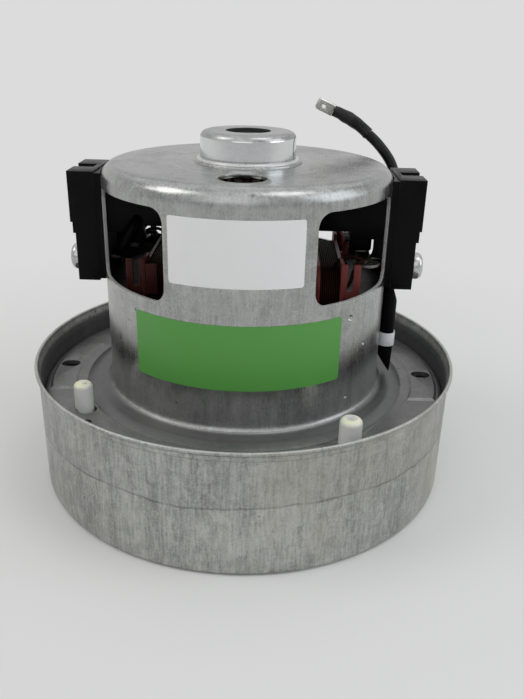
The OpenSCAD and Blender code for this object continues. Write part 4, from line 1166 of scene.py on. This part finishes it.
@dataclass
class MotorCan:
    """The drawn can with its foot, windows, boss and label plates.

    Azimuths are in degrees from the front. A stake is its azimuth, height and radius. A plate is the
    azimuths of its sides and the heights of its edges.
    """

    wall_r: float = 42.0
    sheet: float = 1.0
    foot_r: float = 50.0
    foot_z: float = 29.3
    root: float = 2.2
    feather: float = 3.0
    top: float = 96.3
    shoulder: float = 4.5
    boss_r: float = 13.75
    boss_top: float = 104.8
    boss_edge: float = 2.0
    bead: float = 1.9
    boss_hole_r: float = 6.4
    vent_r: float = 6.3
    vent_at: float = 28.0
    window_low: float = 65.3
    window_high: float = 90.0
    window_chord: float = 33.0
    window_corner: float = 3.6
    window_azimuth: float = 50.9
    nose: tuple[float, float] = (10.6, 16.9)
    nose_z: float = 83.45
    screw_r: float = 1.9
    screw_z: float = 66.4
    stakes: tuple[tuple[float, float, float], ...] = (
        (45.0, 60.0, 1.0), (55.0, 50.5, 0.65), (45.6, 36.1, 0.65))
    white_plate: tuple[float, float, float, float] = (-25.4, 22.9, 71.4, 88.8)
    green_plate: tuple[float, float, float, float] = (-41.9, 40.2, 43.0, 61.4)
    plate_lift: float = 0.02
    plate_sheet: float = 0.12
    plate_corner: float = 0.9
    cut_low: float = 62.5
    vent_zone: tuple[float, float] = (18.0, 37.0)

    def build(self) -> None:
        """Spins the can, cuts its openings and sticks on its plates."""
        can = Workpiece().lathe(self._outline(), 288)
        can.cut(self._openings())
        rough = [edge for edge in can.bm.edges if self._is_cut(edge)]
        bmesh.ops.dissolve_degenerate(can.bm, dist=0.3, edges=rough)
        can.soften(0.15, 14, 2, [edge for edge in can.bm.edges if self._is_cut(edge)])
        for face in can.bm.faces:
            # rubbing with a painted highlight on the windows' cut edges and the bead round the boss
            face[can.worn] = self._rub_and_highlight(face)
        can.finish("motor_can_dressed", GALVANISED_CAN, Body.HOUSING, "galvanised_can", ["motor_can"], 45)
        self._plate("white_plate", WHITE_LABEL, *self.white_plate)
        self._plate("green_plate", GREEN_LABEL, *self.green_plate)

    def _outline(self) -> list[Corner]:
        """The outline of the sheet, with the rounding of each corner."""
        inner, roof = self.wall_r - self.sheet, self.top - self.sheet
        foot_top, bore = self.foot_z + self.sheet, self.boss_r - self.sheet
        ring, step = self.bead * 0.62, self.top + self.bead * 0.3
        return [
            (self.foot_r, self.foot_z, 0.02), (inner, self.foot_z, self.root + self.sheet),
            (inner, roof, self.shoulder - self.sheet), (bore, roof, 0.0),
            (bore, self.boss_top - self.sheet, self.boss_edge - self.sheet),
            (self.boss_hole_r, self.boss_top - self.sheet, 0.1), (self.boss_hole_r, self.boss_top, 0.25),
            (self.boss_r, self.boss_top, self.boss_edge), (self.boss_r, self.top + ring, 0.2),
            (self.boss_r + ring, self.top + ring, 0.7), (self.boss_r + ring, step, 0.15),
            (self.boss_r + self.bead, step, 0.4), (self.boss_r + self.bead, self.top, 0.2),
            (self.wall_r, self.top, self.shoulder), *self._rows(), (self.wall_r, foot_top, self.root),
            (self.foot_r - self.feather, foot_top, 5.0), (self.foot_r, self.foot_z + 0.12, 0.04)]

    def _rows(self, count: int = 26) -> list[Corner]:
        """Points down the wall, so that marks and cuts in it shade only their own rows."""
        high, low = self.top - self.shoulder - 1, self.foot_z + self.sheet + self.root + 1
        return [(self.wall_r, high + (low - high) * row / count, 0.0) for row in range(count + 1)]

    def _openings(self) -> Workpiece:
        """All that is cut out of the can, as one tool.

        Returns:
            The tool.
        """
        tool = Workpiece()
        for azimuth in (self.window_azimuth, -self.window_azimuth):
            for half_turn in (0.0, 180.0):
                self._slab(tool, azimuth + half_turn, self.window_chord, self.window_low, self.window_high,
                           self.window_corner)
        low, high = self.nose_z - self.nose[1] / 2, self.nose_z + self.nose[1] / 2
        for side in Side:
            self._slab(tool, 90.0 * side.value, self.nose[0], low, high, 1.0)
            drill = self._drill(tool, self.screw_r, 12.0, 32)
            bmesh.ops.rotate(tool.bm, verts=drill, cent=(0, 0, 0),
                             matrix=Matrix.Rotation(math.pi / 2, 3, "Y"))
            bmesh.ops.translate(tool.bm, verts=drill, vec=(self.wall_r * side.value, 0, self.screw_z))
        drill = self._drill(tool, self.vent_r, 8.0, 72)
        bmesh.ops.translate(tool.bm, verts=drill, vec=(0, -self.vent_at, self.top))
        for azimuth, height, radius in self.stakes:
            for half_turn in (0.0, 180.0):
                self._stake(tool, azimuth + half_turn, height, radius)
        return tool.tidy()

    @staticmethod
    def _drill(tool: Workpiece, radius: float, length: float, sides: int) -> list[bmesh.types.BMVert]:
        """Adds an upright round cutter at the origin.

        Args:
            tool: what it is added to.
            radius: its radius.
            length: its length.
            sides: its sides.

        Returns:
            Its vertices.
        """
        return bmesh.ops.create_cone(tool.bm, cap_ends=True, segments=sides, radius1=radius, radius2=radius,
                                     depth=length)["verts"]

    def _stake(self, tool: Workpiece, azimuth: float, height: float, radius: float) -> None:
        """Adds the round punch that leaves a stake mark in the wall.

        Args:
            tool: what it is added to.
            azimuth: where it points.
            height: height of the mark's middle.
            radius: radius of the mark.
        """
        depth = radius * 0.7
        ball = (radius * radius + depth * depth) / (2 * depth)
        verts = bmesh.ops.create_uvsphere(tool.bm, u_segments=40, v_segments=24, radius=ball)["verts"]
        bmesh.ops.translate(tool.bm, verts=verts, vec=(0, -self.wall_r - ball + depth, height))
        tool.turn(azimuth, verts)

    def _slab(self, tool: Workpiece, azimuth: float, width: float, low: float, high: float,
              corner: float) -> None:
        """Adds a flat-sided cutter that goes through the wall.

        Args:
            tool: what it is added to.
            azimuth: where it points.
            width: its width along the chord.
            low: its lower height.
            high: its upper height.
            corner: rounding of its corners.
        """
        half, start, reach = width / 2, -self.wall_r * 0.55, -self.wall_r * 0.75
        points = rounded(((-half, low, corner), (half, low, corner), (half, high, corner),
                          (-half, high, corner)), 8)
        face = tool.bm.faces.new([tool.bm.verts.new((x, start, z)) for x, z in points])
        pushed = bmesh.ops.extrude_face_region(tool.bm, geom=[face])["geom"]
        far = [part for part in pushed if isinstance(part, bmesh.types.BMVert)]
        bmesh.ops.translate(tool.bm, verts=far, vec=(0, reach, 0))
        tool.turn(azimuth, list(face.verts) + far)

    def _is_cut(self, edge: bmesh.types.BMEdge) -> bool:
        """True for the edges that the openings left on the wall and the top."""
        middle = (edge.verts[0].co + edge.verts[1].co) / 2
        radius = middle.xy.length
        on_wall = (radius > self.wall_r - self.sheet - 0.1
                   and self.cut_low < middle.z < self.window_high + 1.5)
        on_top = (middle.z > self.top - self.sheet - 0.1
                  and self.vent_zone[0] < radius < self.vent_zone[1])
        return on_wall or on_top

    def _rub_and_highlight(self, face: bmesh.types.BMFace) -> float:
        """How bright a face of the can is made: the windows' cut edges and the bead round the boss, rubbed
        and with a painted highlight.
        """
        middle = face.calc_center_median()
        radius = middle.xy.length
        if self.window_low - 1 < middle.z < self.window_high + 1:
            return 0.8 if abs(face.normal.xy.dot(middle.xy.normalized())) < 0.75 else 0.0
        on_bead = self.boss_r + 0.1 < radius < self.boss_r + self.bead * 0.7 and middle.z > self.top + 0.7
        return 0.9 if on_bead else 0.0

    def _plate(self, name: str, coat: Finish, start: float, stop: float, low: float, high: float) -> None:
        """Sticks a bare label plate on the wall.

        Args:
            name: the plate's name.
            coat: its finish.
            start: azimuth of its left edge.
            stop: azimuth of its right edge.
            low: its lower height.
            high: its upper height.
        """
        piece = Workpiece()
        front = Vector((0, -self.wall_r - self.plate_lift, low))
        foot = Matrix.Rotation(math.radians(start), 3, "Z") @ front
        rows = 12
        line = [piece.bm.verts.new(foot + Vector((0, 0, (high - low) * row / rows)))
                for row in range(rows + 1)]
        edges = [piece.bm.edges.new((line[i], line[i + 1])) for i in range(rows)]
        bmesh.ops.spin(piece.bm, geom=line + edges, cent=(0, 0, 0), axis=(0, 0, 1),
                       angle=math.radians(stop - start), steps=64)
        piece.tidy()
        corners = [vert for vert in piece.bm.verts if len(vert.link_faces) == 1]
        bmesh.ops.bevel(piece.bm, geom=corners, offset=self.plate_corner, offset_type="OFFSET",
                        affect="VERTICES", segments=5, profile=0.5, material=-1)
        bmesh.ops.recalc_face_normals(piece.bm, faces=piece.bm.faces)
        if sum((face.normal.y for face in piece.bm.faces)) > 0:
            bmesh.ops.reverse_faces(piece.bm, faces=piece.bm.faces)
        bmesh.ops.solidify(piece.bm, geom=list(piece.bm.faces), thickness=-self.plate_sheet)
        piece.finish(name, coat, Body.HOUSING, "galvanised_can")


@dataclass
class FieldSet:
    """The two bobbins with their windings, the links and the laminations."""

    coil_in: float = 21.62
    coil_out: float = 27.12
    half_width: float = 20.65
    depth: float = 6.3
    low: float = 30.3
    high: float = 69.7
    corner: float = 7.0
    turns: int = 9
    tail_r: float = 0.5
    tails: tuple[tuple[Place, ...], ...] = (
        ((26.6, -19.8, 62.5), (28.6, -19.2, 64.5), (29.9, -20.0, 67), (30.6, -19.0, 69.3),
         (31.6, -16.2, 70.4), (33.0, -13.2, 71.0), (34.4, -12.2, 71.0)),
        ((25.5, -14.0, 69.4), (27.5, -13.2, 71.6), (30.0, -12.8, 72.4), (32.4, -12.6, 71.8),
         (34.0, -11.4, 71.0)))
    jumper_r: float = 1.65
    jumper: tuple[Place, ...] = (
        (-29.5, 17, 68.0), (-32, 18.3, 68.2), (-34.6, 17, 68.0), (-36.6, 13, 67.7), (-37.8, 8, 67.8),
        (-38.3, 2, 68.0), (-37.9, -3, 69.6), (-36.4, -6.5, 71.5), (-34.5, -7.0, 74.5), (-32.8, -6.0, 77.5),
        (-31.8, -4.2, 79.5))
    hood_in: float = 30.8
    hood_out: tuple[float, float] = (37.3, 39.2)
    hood_y: tuple[float, float] = (-2.5, 1.7)
    hood_low: float = 71.2
    hood_high: float = 75.1
    tongue: tuple[Place, Place] = ((-27.0, -21.55, 62.2), (-23.9, -21.05, 71.0))

    def build(self) -> None:
        """Winds the coils and dresses the rest."""
        for side, outer in zip(Side, self.hood_out):
            self._coil(side)
            self._tails(side)
            self._hood(side, outer)
        softened("right_bobbin", BROWN_PHENOLIC, Body.HOUSING, 0.15)
        # the left bobbin takes the darker copy of the brown phenolic: painted shade
        softened("left_bobbin", SHADED_PHENOLIC, Body.HOUSING, 0.15, "brown_phenolic")
        self._tongue()
        jumper = Workpiece().tube(self.jumper, [self.jumper_r] * len(self.jumper), 5)
        jumper.finish("left_jumper", INNER_MOULDING, Body.HOUSING, "lead_insulation")
        softened("coil_links", DULL_SHADED_TIN, Body.HOUSING, 0.1, "tinned_brass")
        coated(SHADED_LAMINATION_STEEL, "field_core")

    def _tongue(self) -> None:
        """Stands the slot liner's tongue in front of the left coil, where the window shows it."""
        piece = Workpiece().block(*self.tongue).soften(0.12)
        # the tongue takes the darker copy of the brown phenolic: painted shade
        piece.finish("left_slot_tongue", SHADED_PHENOLIC, Body.HOUSING, "brown_phenolic")

    def _tails(self, side: Side) -> None:
        """Leads the coil's two wire ends to the link's lug.

        Args:
            side: the coil's side.
        """
        piece = Workpiece()
        for route in self.tails:
            piece.tube(route, [self.tail_r] * len(route), 3)
        piece.turn(side.half_turn)
        piece.finish(f"{side.word}_coil_tails", SHADED_ENAMELLED_COPPER, Body.HOUSING, "enamelled_copper")

    def _hood(self, side: Side, outer: float) -> None:
        """Pushes an insulating hood over the link's riser.

        Args:
            side: the riser's side.
            outer: the hood's outer distance from the shaft.
        """
        piece = Workpiece().block((self.hood_in, self.hood_y[0], self.hood_low),
                                  (outer, self.hood_y[1], self.hood_high))
        piece.soften(0.7, segments=3)
        throat = [face for face in piece.bm.faces if face.normal.z < -0.99]
        bmesh.ops.inset_region(piece.bm, faces=throat, thickness=0.5, depth=-0.8)
        piece.turn(side.half_turn).tidy()
        piece.finish(f"{side.word}_riser_hood", INNER_MOULDING, Body.HOUSING, "black_moulding")

    def _coil(self, side: Side) -> None:
        """Winds one coil: rows of round turns swept round the pole.

        Args:
            side: the pole's side.
        """
        piece = Workpiece()
        pitch = (self.coil_out - self.coil_in) / self.turns
        section = [Vector((self.coil_out, self.half_width - self.depth, 0)),
                   Vector((self.coil_in, self.half_width - self.depth, 0))]
        for turn in range(self.turns):
            middle = self.coil_in + pitch * (turn + 0.5)
            for step in range(6 if turn < self.turns - 1 else 7):
                angle = math.pi * (1 - step / 6)
                section.append(Vector((middle + pitch / 2 * math.cos(angle),
                                       self.half_width - pitch / 2 * (1 - math.sin(angle)), 0)))
        straight_z, straight_y = self.high - self.corner, self.half_width - self.corner
        low_z = self.low + self.corner
        loop = [piece.bm.verts.new(point + Vector((0, 0, low_z))) for point in section]
        geom = loop + [piece.bm.edges.new((loop[i - 1], loop[i])) for i in range(len(loop))]
        runs = (((0, 0, straight_z - low_z), (straight_y, straight_z)),
                ((0, -2 * straight_y, 0), (-straight_y, straight_z)),
                ((0, 0, low_z - straight_z), (-straight_y, low_z)),
                ((0, 2 * straight_y, 0), (straight_y, low_z)))
        for run, (y, z) in runs:
            edges = [part for part in geom if isinstance(part, bmesh.types.BMEdge)]
            grown = bmesh.ops.extrude_edge_only(piece.bm, edges=edges)["geom"]
            far = [part for part in grown if isinstance(part, bmesh.types.BMVert)]
            bmesh.ops.translate(piece.bm, verts=far, vec=run)
            ends = set(far)
            rim = far + [part for part in grown if isinstance(part, bmesh.types.BMEdge)
                         and ends.issuperset(part.verts)]
            geom = bmesh.ops.spin(piece.bm, geom=rim, cent=(0, y, z), axis=(1, 0, 0), angle=math.pi / 2,
                                  steps=10)["geom_last"]
        piece.turn(side.half_turn).tidy(0.02)
        piece.finish(f"{side.word}_coil_dressed", SHADED_ENAMELLED_COPPER, Body.HOUSING, "enamelled_copper",
                     [f"{side.word}_coil"], 60)


@dataclass
class BrushGear:
    """Holders, tubes, brushes and springs of the two sides."""

    spring_in: float = 34.3
    spring_out: float = 44.5
    spring_z: float = 84.5
    spring_r: float = 2.5
    wire_r: float = 0.3
    coils: int = 8
    travel_keep: float = 0.6

    def build(self) -> None:
        """Dresses both sides and the screws."""
        for side, brush in ((Side.RIGHT, Body.RIGHT_BRUSH), (Side.LEFT, Body.LEFT_BRUSH)):
            softened(f"{side.word}_brush_holder", BLACK_MOULDING, Body.HOUSING, 0.5)
            softened(f"{side.word}_brush_tube", BRASS, Body.HOUSING, 0.08)
            softened(f"{side.word}_brush_terminal", BRASS, Body.HOUSING, 0.1)
            softened(f"{side.word}_carbon_brush", CARBON, brush, 0.2)
            self._spring(side)
        softened("brush_holder_screws", ZINC_SCREW, Body.HOUSING, 0.15)

    def _spring(self, side: Side) -> None:
        """Winds one brush spring.

        Args:
            side: its side.
        """
        steps = 12
        inner, outer = self.spring_in + self.wire_r, self.spring_out - self.wire_r
        route = []
        for step in range(self.coils * steps + 1):
            share = step / (self.coils * steps)
            angle = math.tau * self.coils * share
            route.append((side.value * (inner + (outer - inner) * share), self.spring_r * math.cos(angle),
                          self.spring_z + self.spring_r * math.sin(angle)))
        piece = Workpiece().tube(route, [self.wire_r] * len(route), 2, 2)
        spring = piece.finish(f"{side.word}_brush_spring_dressed", SPRING_STEEL, Body.HOUSING,
                              "spring_steel", [f"{side.word}_brush_spring"])
        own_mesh(spring)


@dataclass
class Rotor:
    """The shaft with the armature, the commutator and the impeller."""

    def build(self) -> None:
        """Dresses the turning pieces."""
        coated(SHAFT_STEEL, "shaft", "shaft_collar")
        coated(SHADED_LAMINATION_STEEL, "armature_core")
        coated(WHITE_NYLON, "slot_insulators")
        coated(COMMUTATOR_COPPER, "commutator")
        coated(BROWN_PHENOLIC, "commutator_core")
        coated(BRASS, "spacer_bush")
        coated(SHADED_ARMATURE_COPPER, "armature_winding")
        softened("impeller_back_plate", IMPELLER_ALUMINIUM, Body.ROTOR, 0.1)
        softened("impeller_shroud", IMPELLER_ALUMINIUM, Body.ROTOR, 0.1)
        coated(IMPELLER_ALUMINIUM, "impeller_blades")
        softened("impeller_washer", ZINC_NUT, Body.ROTOR, 0.1, "zinc_screw")
        softened("impeller_nut", ZINC_NUT, Body.ROTOR, 0.2, "zinc_screw")


@dataclass
class Inside:
    """The bracket, the diffuser with its pegs, the bearings and the protector."""

    pad_in: float = 52.7
    pad_out: float = 61.15
    pad_half: float = 17.5
    pad_top: float = 29.9
    pad_slope: float = 0.85
    sleeve_slant: float = 2.8
    sleeve_high: float = 52.0

    def build(self) -> None:
        """Dresses the pieces that stand still."""
        self._bracket()
        softened("diffuser", WHITE_NYLON, Body.HOUSING, 0.2)
        coated(DAMPING_RUBBER, "bearing_sleeve")
        for place in ("upper", "lower"):
            coated(BEARING_STEEL, f"{place}_bearing_outer", f"{place}_bearing_inner", f"{place}_ball_set")
        self._protector()
        softened("protector_band", BAND_TAPE, Body.HOUSING, 0.1)

    def _protector(self) -> None:
        """Dresses the protector's sleeve, whose upper end slants away from the can."""
        piece = Workpiece().copied("thermal_protector")
        inner = min(vert.co.x for vert in piece.bm.verts)
        outer = max(vert.co.x for vert in piece.bm.verts)
        middle = (inner + outer) / 2
        for vert in piece.bm.verts:
            if vert.co.z > self.sleeve_high and vert.co.x > middle:
                vert.co.z -= self.sleeve_slant * (vert.co.x - middle) / (outer - middle)
        piece.soften(0.35)
        piece.finish("thermal_protector_dressed", PROTECTOR_SLEEVE, Body.HOUSING, "protector_sleeve",
                     ["thermal_protector"])

    def _bracket(self) -> None:
        """Dresses the bracket, with the sides of its pads drawn out to soft slopes."""
        piece = Workpiece().copied("end_bracket")
        for vert in piece.bm.verts:
            radius = vert.co.xy.length
            if vert.co.z < self.pad_top - 0.1:
                continue
            if radius < self.pad_in + 0.2:
                vert.co.xy *= 1 + self.pad_slope / radius
            elif radius > self.pad_out - 0.2:
                vert.co.xy *= 1 - self.pad_slope / radius
            if abs(vert.co.y) > self.pad_half - 0.6:
                vert.co.y -= math.copysign(self.pad_slope, vert.co.y)
        for face in piece.bm.faces:
            face.normal_update()
        pads = [edge for edge in piece.bm.edges if min(vert.co.z for vert in edge.verts) > self.pad_top - 0.7
                and min(vert.co.xy.length for vert in edge.verts) > self.pad_in - 0.2]
        piece.soften(0.28, 18, 3, pads)
        rest = [edge for edge in piece.bm.edges
                if max(vert.co.z for vert in edge.verts) < self.pad_top - 0.65]
        piece.soften(0.12, 35, 2, rest)
        piece.finish("end_bracket_dressed", BRACKET_STEEL, Body.HOUSING, "bracket_steel", ["end_bracket"])


def main() -> None:
    """Builds the scene in order: camera and cord first, then the pieces and the studio."""
    logging.basicConfig(level=logging.INFO, format="%(name)s: %(message)s")
    bpy.context.scene.view_settings.view_transform = "Standard"
    Camera().build()
    for group in (SupplyLead(), FanCase(), MotorCan(), FieldSet(), BrushGear(), Rotor(), Inside(), Studio()):
        log.info("group %s", type(group).__name__)
        group.build()


if __name__ == "__main__":
    main()
